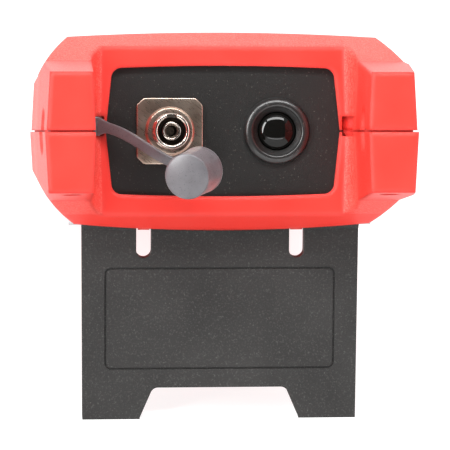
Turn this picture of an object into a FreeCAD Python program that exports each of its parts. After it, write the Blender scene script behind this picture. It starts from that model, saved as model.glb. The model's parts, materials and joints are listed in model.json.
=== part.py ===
"""Handheld optical time domain reflectometer, propped up on its folding stand.

The instrument is modelled in its own frame and then leaned back onto its stand:
X runs to the right, Y from the port end to the foot end, Z from the rear to the screen side,
with the origin on the parting plane, midway between the faces of the two port horns.
All sizes are in millimetres.
"""
import FreeCAD, Part
import math
import os

from FreeCAD import Vector

# Whole case
LENGTH = 178.0
SCREEN_HALF_WIDTH = 41.8      # of the screen half, at the parting plane
REAR_STEP = 0.35              # how far the rear half stands proud at the parting line
REAR_HALF_WIDTH = SCREEN_HALF_WIDTH + REAR_STEP
SCREEN_CROWN = 22.2           # height of the screen side above the parting plane
REAR_CROWN = 22.4
SCREEN_CORNER = (SCREEN_HALF_WIDTH - 7.1, SCREEN_CROWN - 1.1)   # where the crown meets the corner
REAR_CORNER = (REAR_HALF_WIDTH - 8.85, REAR_CROWN - 1.6)
SCREEN_CORNER_END = 11.7      # height where the rounded corner has run past the side face
REAR_CORNER_END = 9.5
SCREEN_CORNER_BULGE = 0.65
REAR_CORNER_BULGE = 1.0
SIDE_DRAFT = math.radians(3.2)
PARTING_GAP = 0.36
SEAL_INSET = 0.9              # of the gasket from the faces around the groove
WALL = 2.4
WAIST_START = 50.0
WAIST_END = LENGTH - 30.0
WAIST_DEPTH = 1.8
FOOT_CORNER_WIDTH = 9.0       # the case narrows by this much on each side at the foot end
FOOT_CORNER_LENGTH = 15.0
FOOT_BULGE = 1.4
FOOT_FACE_HALF = 15.8         # half height of the foot end face
END_BEVEL = math.radians(30.0)

# Port horns and the bay between them
HORN_LENGTH = 20.0
HORN_TAPER = 2.1              # each side narrows by this much towards the horn faces
HORN_TAPER_LENGTH = 25.0
SCREEN_HORN_FACE = 12.6       # height of the horn face, and of the horn at its root
SCREEN_HORN_ROOT = 15.4
REAR_HORN_FACE = 13.2
REAR_HORN_ROOT = 15.3
BAY_HALF_WIDTH = SCREEN_HALF_WIDTH - 12.5   # between the horns, at their faces
BAY_NARROWING = 0.4           # of each side from the horn face to the bottom of the bay
BAY_DEPTH = 26.0
BAY_FLARE = (1.5, 2.0)        # rounded corner of the bay at the parting plane, across and along
BAY_FLARE_TOP = (3.1, 7.7)    # and at its top
BAY_FLARE_BULGE = 0.12        # rise of the corner's arc, per length of its chord
BAY_DRAFT = math.radians(2.4)
SCOOP_LENGTH = 6.6
SCOOP_HEIGHT = 10.4
SCOOP_DEPTH = 0.9
SCOOP_EASE = 1.0              # how much smaller the floor of a scoop is than its mouth
SCOOP_Y = 9.6
POCKET_OUTER_X = BAY_HALF_WIDTH - 0.1
POCKET_INNER_X = POCKET_OUTER_X - 2.5
POCKET_TOP = 3.3
POCKET_BOTTOM = -1.1
POCKET_FRONT = BAY_DEPTH - 4.5
POCKET_BACK = BAY_DEPTH + 1.1

# End panel
PANEL_FRONT = BAY_DEPTH + 1.4
PANEL_THICKNESS = 2.2
PANEL_MIDDLE_WIDTH = BAY_HALF_WIDTH - 3.0     # half width at the parting plane
PANEL_CORNER_WIDTH = PANEL_MIDDLE_WIDTH - 1.25   # half width at the corners
PANEL_HALF_HEIGHT = 14.6
PANEL_ARCH = 0.5
PANEL_RADIUS = 2.4
PANEL_LIP = 1.5               # how far the plate reaches behind the rim
PANEL_PLAY = 0.05
BULKHEAD_BACK = PANEL_FRONT + 4.2

# Fibre port
PORT_X = -12.0
FLANGE_SIZE = 14.8
FLANGE_CHAMFER = 1.6
FLANGE_THICKNESS = 1.2        # of the square plate
METAL_EDGE = 0.3              # broken edges of the turned metal pieces
SHOULDER_RADIUS = 5.2
SHOULDER_LENGTH = 1.4
BARREL_RADIUS = 4.0
BARREL_TAIL_RADIUS = 3.8      # behind the thread, through flange, panel and nut
THREAD_RELIEF = 0.4           # groove between thread and shoulder
BARREL_LENGTH = 9.2           # from the panel to the lip
BARREL_WALL = 0.95
SLEEVE_HOLDER_RADIUS = 2.05
SLEEVE_HOLDER_SETBACK = 0.9
SOCKET_DEPTH = 5.6
SLEEVE_RADIUS = 1.6
SLEEVE_SETBACK = 0.1          # of the sleeve behind the front of its holder
SLEEVE_LEAD = 0.2             # lead-in chamfer
FERRULE_SETBACK = 1.2         # of the ferrule's tip behind the socket floor
FERRULE_EDGE = 0.3
FERRULE_TAIL = 3.0            # of the ferrule behind the adapter
FERRULE_RADIUS = 1.25
FERRULE_PLAY = 0.01
KEYWAY_WIDTH = 2.2
KEYWAY_DEPTH = 3.0
TAIL_LENGTH = 7.0             # of the adapter behind the panel front
NUT_ACROSS = 11.0
NUT_THICKNESS = 2.0

# Inspection lamp
LAMP_X = 12.1
RING_RADIUS = 7.2
RING_HEIGHT = 1.3
RING_LIP_RADIUS = 5.65
RING_ROUND = 0.6
RING_FLARE = 0.3
LENS_RADIUS = 4.3
LENS_SEAT = 1.6               # below the panel front
LENS_DOME = 2.0
LENS_THICKNESS = 1.6
LENS_LEDGE = 0.6              # how far the panel reaches under the lens
LENS_EDGE = 0.4
LENS_BELLY = 0.62             # rise of the dome over the straight line from its middle to its edge
LENS_SKIRT = 0.9
LAMP_BOARD_SIZE = 12.0
LAMP_BOARD_THICKNESS = 1.0
LED_RADIUS = 2.2
LED_HEIGHT = 1.8
LED_DOME_RADIUS = 1.6
LED_DOME_HEIGHT = 0.7
LAMP_POST_RADIUS = 0.9
LAMP_POST_INSET = 1.2

# Dust cap, its strap and the strap's anchor
CAP_RADIUS = 5.1
CAP_LENGTH = 9.4
CAP_BORE_RADIUS = 3.9
CAP_BORE_DEPTH = 7.8
CAP_EDGE = 0.7
CAP_RIM_EDGE = 0.3
CAP_RIM = (-5.8, 16.8, -8.5)     # centre of the open rim
CAP_DIRECTION = (-3.7, -8.7, -1.38)
STRAP_WIDTH = 2.3
STRAP_THICKNESS = 1.0
STRAP_START = (0.2 - POCKET_INNER_X, 24.6, 1.0)
STRAP_LEAD = (-21.5, 21.5, 0.6)
STRAP_SWEEP = (-15.5, 17.2, -6.4)
STRAP_FACE_START = (0, -1, 0)     # way the flat side looks at the anchor
STRAP_FACE_END = (-0.25, -1, -0.2)
STRAP_RISE = 1.265               # of the strap's middle line over the cap's rim
STRAP_ROOT = 1.1                 # how much wider the strap starts
STRAP_ROOT_END = 0.25            # share of its length over which it narrows
STRAP_PIECES = 12
ANCHOR_PLAY = 0.3
ANCHOR_BAR = 0.7

# Face: bezel, window, keys
BEZEL_HALF_WIDTH = SCREEN_HALF_WIDTH - 9.0
BEZEL_START = 39.0
BEZEL_END = LENGTH - 10.0
BEZEL_TOP = SCREEN_CROWN - 0.6
BEZEL_THICKNESS = 1.7
BEZEL_RADIUS = 6.0
BEZEL_EDGE = 0.35
FACE_PLAY = 0.1
FACE_WALL = 2.0
KEY_HEIGHT = 1.3              # above the bezel
KEY_PLAY = 0.4
KEY_BEVEL = 0.5
KEY_FLANGE = 0.8
KEY_FLANGE_REACH = 0.9
KEY_TRAVEL = 0.8
KEY_REST_GAP = 0.3
STEM_RADIUS = 2.0
DOME_RADIUS = 2.5
DOME_TOP_RADIUS = 1.5
DOME_HEIGHT = 0.35
MAT_THICKNESS = 0.7
MAT_PLAY = 0.2
MAT_HOLE_RADIUS = 3.4
KEYPAD_BOARD_THICKNESS = 1.0
KEYPAD_BOARD_LEDGE = 1.8      # how far the board reaches past the key field on each side
SOFT_KEY = (11.0, 5.0)
SOFT_KEY_PITCH = 14.6
NAV_PITCH = 13.2
NAV_KEY = (11.0, 8.0)
ENTER_KEY = (11.0, 11.0)
SIDE_KEY = (11.0, 7.0)
SIDE_KEY_X = 22.0
SIDE_KEY_REACH = 16.0
KEY_CORNER = 1.6
KEY_FIELD_HALF_WIDTH = 29.0
KEY_FIELD_END = BEZEL_END - 4.5
NAV_Y = KEY_FIELD_END - 28.5
SOFT_KEY_Y = NAV_Y - 30.5
KEY_FIELD_START = SOFT_KEY_Y - 5.0
WINDOW_WIDTH = 61.0
WINDOW_START = BEZEL_START + 6.5
WINDOW_END = KEY_FIELD_START - 4.0
WINDOW_THICKNESS = 1.1
WINDOW_RADIUS = 1.4
WINDOW_LEDGE = 1.6
DISPLAY_MARGIN = (0.5, 2.5)   # how far the display reaches past the window, across and along
DISPLAY_THICKNESS = 3.0

# Stand
STAND_Y = BULKHEAD_BACK + 4.0   # hinge axis
STAND_Z = 2.4 - REAR_CROWN
STAND_OPEN_LEAN = math.radians(5.0)
STAND_HALF_WIDTH = 31.5
STAND_FOOT_HALF_WIDTH = 31.3
STAND_LENGTH = 45.4           # from the hinge axis to the middle of the soles
STAND_THICKNESS = 3.2
STAND_KNUCKLE_RADIUS = 2.6
STAND_HEEL = 2.2
PIN_RADIUS = 1.25
PIN_PLAY = 0.06
SLOT_X = 17.4
SLOT_WIDTH = 3.4
SLOT_END = 8.6                # from the hinge axis to the rounded end
LUG_THICKNESS = 2.6
LUG_RADIUS = 2.4
GROOVE_HALF_WIDTH = 26.3
GROOVE_START = 10.8
GROOVE_END = 34.3
GROOVE_WIDTH = 0.45
GROOVE_DEPTH = 0.35
GROOVE_RADIUS = 1.6
NOTCH_TOP_HALF = 15.2
NOTCH_BOTTOM_HALF = 18.2
NOTCH_HEIGHT = 6.9
NOTCH_RADIUS = 1.2
SOLE_SPARE = 2.0              # length cut away to leave the soles level
RECESS_PLAY = 0.5
RECESS_FLOOR = STAND_Z + 2.0
RECESS_SKIN = 1.8

# Rear: battery, feet, screws
COVER_HALF_WIDTH = 23.5
COVER_START = STAND_Y + STAND_LENGTH + 4.6
COVER_END = LENGTH - 19.4
BATTERY_START = COVER_START + 6.4
BATTERY_END = COVER_END - 6.6
BATTERY_WIDTH = 37.4
BATTERY_HEIGHT = 18.4
CELL_RADIUS = 9.2
BATTERY_PLAY = 0.4
CONTACTS_SIZE = (12.0, 4.0)
CONTACTS_INSET = 4.0
BAY_WALL = 1.4
COVER_PLAY = 0.15
COVER_LEDGE = 2.4
COVER_RADIUS = 3.0
COVER_TOP_Z = 2.2 - REAR_CROWN
COVER_SCREW_INSET = 3.2
COVER_SCREW_SKIN = 0.6        # of the cover under the screw head
GRIP_COUNT = 3
GRIP_PITCH = 2.8
GRIP_HALF_WIDTH = 9.0
GRIP_WIDTH = 0.8
GRIP_DEPTH = 0.5
FOOT_PAD_Y = LENGTH - 15.0
FOOT_PAD_X = 24.0
FOOT_PAD_SIZE = (14.0, 6.0)
FOOT_PAD_RADIUS = 2.9
FOOT_PAD_BOTTOM = -REAR_CROWN - 1.3
FOOT_PAD_SEAT = -REAR_CROWN + 1.6
SCREW_POSITIONS = ((SCREEN_HALF_WIDTH - 7.6, 4.7), (SCREEN_HALF_WIDTH - 7.2, 60.0),
                   (SCREEN_HALF_WIDTH - 7.4, LENGTH - 17.5))
SCREW_HEAD_RADIUS = 1.9
SCREW_RECESS_RADIUS = 2.0
SCREW_SHANK_RADIUS = 1.1
SCREW_SHANK_PLAY = 0.15
SCREW_HEAD_HEIGHT = 1.5
SCREW_HEAD_ROUND = 0.5
SCREW_SEAT = -9.5
SCREW_TIP = 8.0
DRIVE_RADIUS = 0.8
DRIVE_WIDTH = 0.44
DRIVE_DEPTH = 0.7
BOSS_RADIUS = 3.2

# Boards and what is on them
MAIN_BOARD_HALF_WIDTH = SCREEN_HALF_WIDTH - 10.9
MAIN_BOARD_START = 44.0
MAIN_BOARD_END = LENGTH - 14.0
MAIN_BOARD_BOTTOM = 4.4
MAIN_BOARD_THICKNESS = 1.6
POST_RADIUS = 2.4
POST_X = MAIN_BOARD_HALF_WIDTH - 3.0
POST_ROWS = (48.0, 98.0, MAIN_BOARD_END - 10.0)
OPTICS_SIZE = (46.0, 30.0, 9.0)
OPTICS_Y = 52.0
SNOUT_LENGTH = 4.0
SNOUT_RADIUS = 2.0
FIBRE_RADIUS = 0.45
CAN_HEIGHT = 2.6
# across, and back from the board's end
CAN_PLACES = ((-22.0, 2.0, 60.0, 36.0), (6.0, 24.0, 58.0, 40.0), (-20.0, 12.0, 30.0, 12.0))
BUZZER_PLACE = (22.0, MAIN_BOARD_END - 20.0)
BUZZER_RADIUS = 5.5
BUZZER_HEIGHT = 4.0

# Side sockets under their rubber flap
FLAP_START = 112.0
FLAP_LENGTH = 26.0
FLAP_BOTTOM = 3.0
FLAP_HEIGHT = 10.0
FLAP_THICKNESS = 1.7
FLAP_PLAY = 0.3
FLAP_RADIUS = 1.5
TAB_LENGTH = 10.0
TAB_WIDTH = 1.4
TAB_RISE = 0.7
TAB_INSET = 0.8
FLAP_FACE_X = SCREEN_HALF_WIDTH - 2.4
SOCKET_FACE_X = FLAP_FACE_X - 2.4
USB_SIZE = (9.0, 3.3)         # along the case and across the board
USB_Y = FLAP_START + 7.5
USB_SKIN = 0.35
USB_DEPTH = 7.0
TONGUE_SIZE = (6.4, 0.7)
JACK_SIZE = 7.4
JACK_BASE = 2.0
JACK_BORE_RADIUS = 2.75
JACK_PIN_RADIUS = 0.9
JACK_Y = FLAP_START + 19.0
SOCKET_LENGTH = 9.0

PAST = 1.0                    # how far a cutter runs past the face it opens
TINY = 0.01
WELD = 0.2                    # how far a rib runs into the wall it stands on
ROUND_RISE = 1 - math.sqrt(0.5)   # rise of a quarter circle over its chord, per radius


def at(plane, a, b, offset=0.0):
    """Point with coordinates a, b in the plane, offset along the plane's normal."""
    return {"xy": Vector(a, b, offset), "xz": Vector(a, offset, b), "yz": Vector(offset, a, b)}[plane]


def is_arc(step):
    return isinstance(step[0], tuple)


def end_of(step):
    return step[1] if is_arc(step) else step


def bulge(start, end, rise):
    """Middle of an arc from start to end that rises to the left of the straight way."""
    across, up = end[0] - start[0], end[1] - start[1]
    length = math.hypot(across, up)
    return ((start[0] + end[0]) / 2 - up / length * rise,
            (start[1] + end[1]) / 2 + across / length * rise)


def below(point):
    return (point[0], -point[1])


def mirrored(half):
    """Closed outline from its right half, which starts and ends on the centre line."""
    back = []
    for before, step in zip(half[-2::-1], half[:0:-1]):
        end = (-end_of(before)[0], end_of(before)[1])
        back.append(((-step[0][0], step[0][1]), end) if is_arc(step) else end)
    return half + back


def outline(plane, steps, offset=0.0):
    """Closed wire; each step is a corner (a, b), or (middle, end) for an arc."""
    edges = []
    here = steps[0]
    for step in steps[1:] + steps[:1]:
        start, end = at(plane, *here, offset), at(plane, *end_of(step), offset)
        if start.distanceToPoint(end) > 1e-6:
            if is_arc(step):
                edges.append(Part.Arc(start, at(plane, *step[0], offset), end).toShape())
            else:
                edges.append(Part.LineSegment(start, end).toShape())
        here = end_of(step)
    return Part.Wire(edges)


def prism(plane, steps, start, end):
    """Outline in a plane, swept along the plane's normal from start to end."""
    normal = at(plane, 0, 0, 1) - at(plane, 0, 0, 0)
    return Part.Face(outline(plane, steps, start)).extrude(normal * (end - start))


def loft(*wires):
    return Part.makeLoft(list(wires), True, True)


def box(x0, x1, y0, y1, z0, z1):
    return Part.makeBox(x1 - x0, y1 - y0, z1 - z0, Vector(x0, y0, z0))


def rounded(centre_x, centre_y, width, length, radius):
    """Rectangle with round corners, as steps."""
    x, y = width / 2, length / 2
    cut = radius * ROUND_RISE
    steps = [(centre_x, centre_y - y)]
    for right, up in ((1, -1), (1, 1), (-1, 1), (-1, -1)):
        near = (centre_x + right * (x - radius), centre_y + up * y)
        far = (centre_x + right * x, centre_y + up * (y - radius))
        middle = (centre_x + right * (x - cut), centre_y + up * (y - cut))
        first, last = (near, far) if right * up < 0 else (far, near)
        steps += [first, (middle, last)]
    return steps


def rod(start, end, radius):
    way = Vector(*end) - Vector(*start)
    return Part.makeCylinder(radius, way.Length, Vector(*start), way)


def turned(profile, x, z=0.0):
    """Solid of revolution about the line along Y through (x, z), from (radius, y) steps."""
    steps = []
    for step in profile:
        if is_arc(step):
            steps.append(tuple((x + radius, y) for radius, y in step))
        else:
            steps.append((x + step[0], step[1]))
    return Part.Face(outline("xy", steps, z)).revolve(Vector(x, 0, z), Vector(0, 1, 0), 360)


def both_sides(shape):
    return [shape, shape.mirror(Vector(0, 0, 0), Vector(1, 0, 0))]


def slab(side, near, far):
    """Heights near and far on the screen side (1) or the rear side (-1), in rising order."""
    return sorted((side * near, side * far))


# ---- Case ----------------------------------------------------------------------------------

def case_size(side):
    """Half width, crown, horn face and horn root of one half of the case."""
    if side > 0:
        return SCREEN_HALF_WIDTH, SCREEN_CROWN, SCREEN_HORN_FACE, SCREEN_HORN_ROOT
    return REAR_HALF_WIDTH, REAR_CROWN, REAR_HORN_FACE, REAR_HORN_ROOT


def case_corner(side):
    """Upper end, lower height and rise of the rounded corner of one half of the case."""
    if side > 0:
        return SCREEN_CORNER, SCREEN_CORNER_END, SCREEN_CORNER_BULGE
    return REAR_CORNER, REAR_CORNER_END, REAR_CORNER_BULGE


def plan(width, inset, front):
    """Outline of the case seen from the screen side, for a given half width."""
    foot = LENGTH - inset
    waist = bulge((width, WAIST_START), (width, WAIST_END), WAIST_DEPTH)
    foot_corner = (width - FOOT_CORNER_WIDTH, foot)
    foot_shoulder = (width, LENGTH - FOOT_CORNER_LENGTH)
    half = [(0, front)]
    if front < HORN_TAPER_LENGTH:
        taper = HORN_TAPER * (1 - front / HORN_TAPER_LENGTH)
        half += [(width - taper, front), (width, HORN_TAPER_LENGTH)]
    else:
        half += [(width, front)]
    half += [(width, WAIST_START), (waist, (width, WAIST_END)), foot_shoulder,
             (bulge(foot_shoulder, foot_corner, -FOOT_BULGE), foot_corner), (0, foot)]
    return mirrored(half)


def envelope(side, inset=0.0, front=0.0):
    """One half of the case's outer form, or of the space inside it at a given inset."""
    width, crown, horn_face, horn_root = case_size(side)
    corner, end_height, rise = case_corner(side)
    width, crown = width - inset, crown - inset
    corner = (corner[0] - inset / 2, corner[1] - inset)
    corner_end = (width - 0.1, end_height - inset / 3)
    over = crown + 2
    lean = over * math.tan(SIDE_DRAFT)
    sides = loft(outline("xy", plan(width, inset, front), 0),
                 outline("xy", plan(width - lean, inset, front), side * over))
    wide = width + 5
    corner_arc = bulge(corner, corner_end, rise)
    crown_arc = bulge((0, crown), corner, (crown - corner[1]) / 4)
    section = [(0, crown), (crown_arc, corner), (corner_arc, corner_end),
               (wide, corner_end[1] - 5), (wide, 0), (0, 0)]
    if side < 0:
        section = [tuple(below(p) for p in step) if is_arc(step) else below(step) for step in section]
    crowned = prism("xz", mirrored(section), front - PAST, LENGTH + PAST)
    drop = inset / math.cos(END_BEVEL)
    run = (over - horn_root) / math.tan(END_BEVEL)
    foot_run = (over - FOOT_FACE_HALF) / math.tan(END_BEVEL)
    profile = [(0, 0), (0, horn_face), (HORN_LENGTH, horn_root - drop), (HORN_LENGTH + run, over - drop),
               (LENGTH - foot_run, over - drop), (LENGTH, FOOT_FACE_HALF - drop), (LENGTH, 0)]
    ends = prism("yz", [(y, side * z) for y, z in profile], -wide, wide)
    return sides.common(crowned).common(ends)


def bay(side, grow=0.0):
    """Space between the horns, flaring in its corners; grow moves its walls outwards."""
    over = case_size(side)[1] + 2
    wires = []
    for height, (across_flare, along_flare) in ((0.0, BAY_FLARE), (over, BAY_FLARE_TOP)):
        wall = BAY_HALF_WIDTH + height * math.tan(BAY_DRAFT) + grow
        depth = BAY_DEPTH + grow
        lean = BAY_NARROWING / BAY_DEPTH
        flare_y = depth - along_flare
        root = (wall - lean * flare_y, flare_y)
        foot = (root[0] - across_flare, depth)
        rise = BAY_FLARE_BULGE * math.hypot(across_flare, along_flare)
        half = [(0, -PAST), (wall + lean * PAST, -PAST), root, (bulge(root, foot, -rise), foot), (0, depth)]
        wires.append(outline("xy", mirrored(half), side * height))
    return loft(*wires)


def panel_steps(grow=0.0):
    """Outline of the end panel; grow widens it on every side."""
    top = PANEL_HALF_HEIGHT + grow
    shoulder = top - PANEL_ARCH
    middle, corner = PANEL_MIDDLE_WIDTH + grow, PANEL_CORNER_WIDTH + grow
    radius = PANEL_RADIUS + grow
    crown = (0, top)
    arch_end = (corner - radius, shoulder)
    side_start = (corner, shoulder - radius)
    arch = bulge(crown, arch_end, PANEL_ARCH / 4)
    turn = bulge(arch_end, side_start, radius * ROUND_RISE)
    return mirrored([crown, (arch, arch_end), (turn, side_start), (middle, 0), below(side_start),
                     (below(turn), below(arch_end)), (below(arch), below(crown))])


def scoops():
    """Shallow dished recesses on the outer and inner walls of both horns."""
    cutters = []
    outer_x = SCREEN_HALF_WIDTH - HORN_TAPER * (1 - SCOOP_Y / HORN_TAPER_LENGTH)
    inner_x = BAY_HALF_WIDTH - BAY_NARROWING * SCOOP_Y / BAY_DEPTH
    for wall_x, inward in ((outer_x, -1), (inner_x, 1)):
        mouth = rounded(SCOOP_Y, 0, SCOOP_LENGTH + SCOOP_EASE, SCOOP_HEIGHT + SCOOP_EASE, SCOOP_LENGTH / 2)
        floor = rounded(SCOOP_Y, 0, SCOOP_LENGTH - SCOOP_EASE, SCOOP_HEIGHT - SCOOP_EASE,
                        (SCOOP_LENGTH - SCOOP_EASE) / 2 - 0.1)
        dish = loft(outline("yz", mouth, wall_x - inward * PAST),
                    outline("yz", floor, wall_x + inward * SCOOP_DEPTH))
        cutters += both_sides(dish)
    return cutters


def strap_pockets():
    return both_sides(box(POCKET_INNER_X, POCKET_OUTER_X, POCKET_FRONT, POCKET_BACK,
                          POCKET_BOTTOM, POCKET_TOP))


def screw_axes():
    """Every case screw as (x, y), on both sides."""
    return [(sign * x, y) for x, y in SCREW_POSITIONS for sign in (1, -1)]


def hollow(side):
    """Half of the case as an open shell, with its bulkhead, bay and screw bosses."""
    gap = PARTING_GAP / 2
    low, high = slab(side, gap, SCREEN_CROWN + 5)
    wide = REAR_HALF_WIDTH + PAST
    keep = box(-wide, wide, -PAST, LENGTH + PAST, low, high)
    shell = envelope(side).common(keep)
    room = envelope(side, WALL, BULKHEAD_BACK)
    low, high = slab(side, gap, REAR_CROWN - WALL)
    bosses = [Part.makeCylinder(BOSS_RADIUS, high - low, Vector(x, y, low)) for x, y in screw_axes()[2:]]
    room = room.cut(bosses)
    panel_back = PANEL_FRONT + PANEL_THICKNESS + PANEL_PLAY
    cutters = [room, bay(side), prism("xz", panel_steps(), BAY_DEPTH - PAST, BULKHEAD_BACK + PAST),
               prism("xz", panel_steps(PANEL_LIP + PANEL_PLAY), PANEL_FRONT, panel_back)]
    return shell.cut(cutters + scoops() + strap_pockets())


def flap_seat():
    """Recess in the right side wall for the rubber flap, and the openings behind it."""
    seat = box(FLAP_FACE_X - FLAP_THICKNESS, SCREEN_HALF_WIDTH + PAST,
               FLAP_START - FLAP_PLAY, FLAP_START + FLAP_LENGTH + FLAP_PLAY,
               FLAP_BOTTOM - FLAP_PLAY, FLAP_BOTTOM + FLAP_HEIGHT + FLAP_PLAY)
    board_top = MAIN_BOARD_BOTTOM + MAIN_BOARD_THICKNESS
    windows = []
    for y, width, height in ((USB_Y, *USB_SIZE), (JACK_Y, JACK_SIZE, JACK_SIZE)):
        reach = width / 2 + FLAP_PLAY
        windows.append(box(SOCKET_FACE_X - SOCKET_LENGTH / 2, SCREEN_HALF_WIDTH, y - reach, y + reach,
                           board_top - FLAP_PLAY, board_top + height + FLAP_PLAY))
    return [seat] + windows


def front_housing():
    seat_z = BEZEL_TOP - BEZEL_THICKNESS
    floor_z = seat_z - FACE_WALL
    tray_steps = rounded(0, (BEZEL_START + BEZEL_END) / 2, 2 * (BEZEL_HALF_WIDTH + FACE_PLAY),
                         BEZEL_END - BEZEL_START + 2 * FACE_PLAY, BEZEL_RADIUS)
    tray = prism("xy", tray_steps, floor_z, SCREEN_CROWN - WALL / 2)
    sink = prism("xy", tray_steps, seat_z, SCREEN_CROWN + PAST)
    view = prism("xy", window_steps(-WINDOW_LEDGE), floor_z - PAST, seat_z + PAST)
    keys = box(-KEY_FIELD_HALF_WIDTH, KEY_FIELD_HALF_WIDTH, KEY_FIELD_START, KEY_FIELD_END,
               floor_z - PAST, seat_z + PAST)
    board_z = keypad_board_top()
    rails = both_sides(box(KEY_FIELD_HALF_WIDTH, KEY_FIELD_HALF_WIDTH + WALL, KEY_FIELD_START, KEY_FIELD_END,
                           board_z, floor_z))
    shell = hollow(1).fuse([tray] + rails)
    pilots = [Part.makeCylinder(SCREW_SHANK_RADIUS, SCREW_TIP + PAST, Vector(x, y, 0))
              for x, y in screw_axes()]
    return shell.cut([sink, view, keys] + pilots + flap_seat()).removeSplitter()


def across(reach, radius):
    """Cylinder along the stand's hinge axis, reaching equally far to both sides."""
    return rod((-reach, STAND_Y, STAND_Z), (reach, STAND_Y, STAND_Z), radius)


def foot_pad(grow, bottom):
    """Right-hand rubber pad, or with grow the recess it sits in."""
    width, length = FOOT_PAD_SIZE
    steps = rounded(FOOT_PAD_X, FOOT_PAD_Y, width + 2 * grow, length + 2 * grow, FOOT_PAD_RADIUS + grow)
    return prism("xy", steps, bottom, FOOT_PAD_SEAT)


def rear_housing():
    gap = PARTING_GAP / 2
    wide = STAND_HALF_WIDTH + RECESS_PLAY
    reach = STAND_Y + STAND_LENGTH + RECESS_PLAY + 1.5
    front = STAND_Y - STAND_KNUCKLE_RADIUS - RECESS_PLAY
    skin_z = RECESS_FLOOR + RECESS_SKIN
    inside_z = WALL - REAR_CROWN - WELD
    tub = box(-wide - RECESS_SKIN, wide + RECESS_SKIN, BULKHEAD_BACK - WELD, reach + RECESS_SKIN,
              inside_z, skin_z)
    recess = box(-wide, wide, front, reach, -REAR_CROWN - PAST, RECESS_FLOOR)
    knuckle_room = across(wide, STAND_KNUCKLE_RADIUS + RECESS_PLAY)
    lugs = []
    for x in (-SLOT_X, SLOT_X):
        left, right = x - LUG_THICKNESS / 2, x + LUG_THICKNESS / 2
        lugs.append(rod((left, STAND_Y, STAND_Z), (right, STAND_Y, STAND_Z), LUG_RADIUS))
        lugs.append(box(left, right, STAND_Y - LUG_RADIUS, STAND_Y + LUG_RADIUS, STAND_Z, skin_z))
    ledge_wide = COVER_HALF_WIDTH + COVER_PLAY
    cover_y = (COVER_START + COVER_END) / 2
    cover_seat = prism("xy", rounded(0, cover_y, 2 * ledge_wide, COVER_END - COVER_START + 2 * COVER_PLAY,
                                     COVER_RADIUS), -REAR_CROWN - PAST, COVER_TOP_Z)
    battery_y = (BATTERY_START, BATTERY_END)
    room = BATTERY_WIDTH / 2 + BATTERY_PLAY
    cradle = box(-room - BAY_WALL, room + BAY_WALL, battery_y[0] - BATTERY_PLAY - BAY_WALL,
                 battery_y[1] + BATTERY_PLAY + BAY_WALL, inside_z, COVER_TOP_Z + BATTERY_HEIGHT / 2)
    ledge = box(-ledge_wide - WALL, ledge_wide + WALL, COVER_START - WALL, COVER_END + WALL,
                inside_z, COVER_TOP_Z + COVER_LEDGE)
    bay_room = box(-room, room, battery_y[0] - BATTERY_PLAY, battery_y[1] + BATTERY_PLAY, -REAR_CROWN, -gap)
    seats = both_sides(foot_pad(PANEL_PLAY, -REAR_CROWN - PAST))
    posts = []
    for y in POST_ROWS:
        post = Part.makeCylinder(POST_RADIUS, MAIN_BOARD_BOTTOM - inside_z, Vector(POST_X, y, inside_z))
        posts += both_sides(post)
    shell = hollow(-1).fuse([tub, cradle, ledge] + posts)
    shell = shell.cut([recess, knuckle_room, cover_seat, bay_room]).fuse(lugs)
    holes = []
    for x, y in screw_axes():
        holes.append(Part.makeCylinder(SCREW_RECESS_RADIUS, REAR_CROWN + PAST + SCREW_SEAT,
                                       Vector(x, y, -REAR_CROWN - PAST)))
        holes.append(Part.makeCylinder(SCREW_SHANK_RADIUS + SCREW_SHANK_PLAY, -SCREW_SEAT + PAST,
                                       Vector(x, y, SCREW_SEAT - PAST)))
    for y in cover_screw_rows():
        holes.append(Part.makeCylinder(SCREW_SHANK_RADIUS, COVER_LEDGE + 2 * PAST,
                                       Vector(0, y, COVER_TOP_Z - PAST)))
    return shell.cut([across(wide + WALL, PIN_RADIUS)] + seats + holes).removeSplitter()


def case_seal():
    """Flat gasket that holds the two halves a groove apart."""
    gap = PARTING_GAP / 2
    inset = SEAL_INSET
    ring = prism("xy", plan(SCREEN_HALF_WIDTH - inset, inset, inset), -gap, gap)
    room = prism("xy", plan(SCREEN_HALF_WIDTH - WALL, WALL, BULKHEAD_BACK), -PAST, PAST)
    opening = prism("xz", panel_steps(PANEL_LIP + PANEL_PLAY), PANEL_FRONT, BULKHEAD_BACK + PAST)
    rim = prism("xz", panel_steps(inset), BAY_DEPTH, PANEL_FRONT)
    space = bay(1, inset).fuse(bay(-1, inset))
    holes = [Part.makeCylinder(SCREW_SHANK_RADIUS + SCREW_SHANK_PLAY, 2 * PAST, Vector(x, y, -PAST))
             for x, y in screw_axes()[:2]]
    return ring.cut([room, opening, rim, space] + scoops() + strap_pockets() + holes)


def keypad_board_top():
    """Height of the board under the keys, from the bezel down through a key's parts."""
    flange_top = BEZEL_TOP - BEZEL_THICKNESS - KEY_REST_GAP
    return flange_top - KEY_FLANGE - KEY_TRAVEL - KEY_REST_GAP - MAT_THICKNESS


# ---- End panel, fibre port and lamp --------------------------------------------------------

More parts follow.
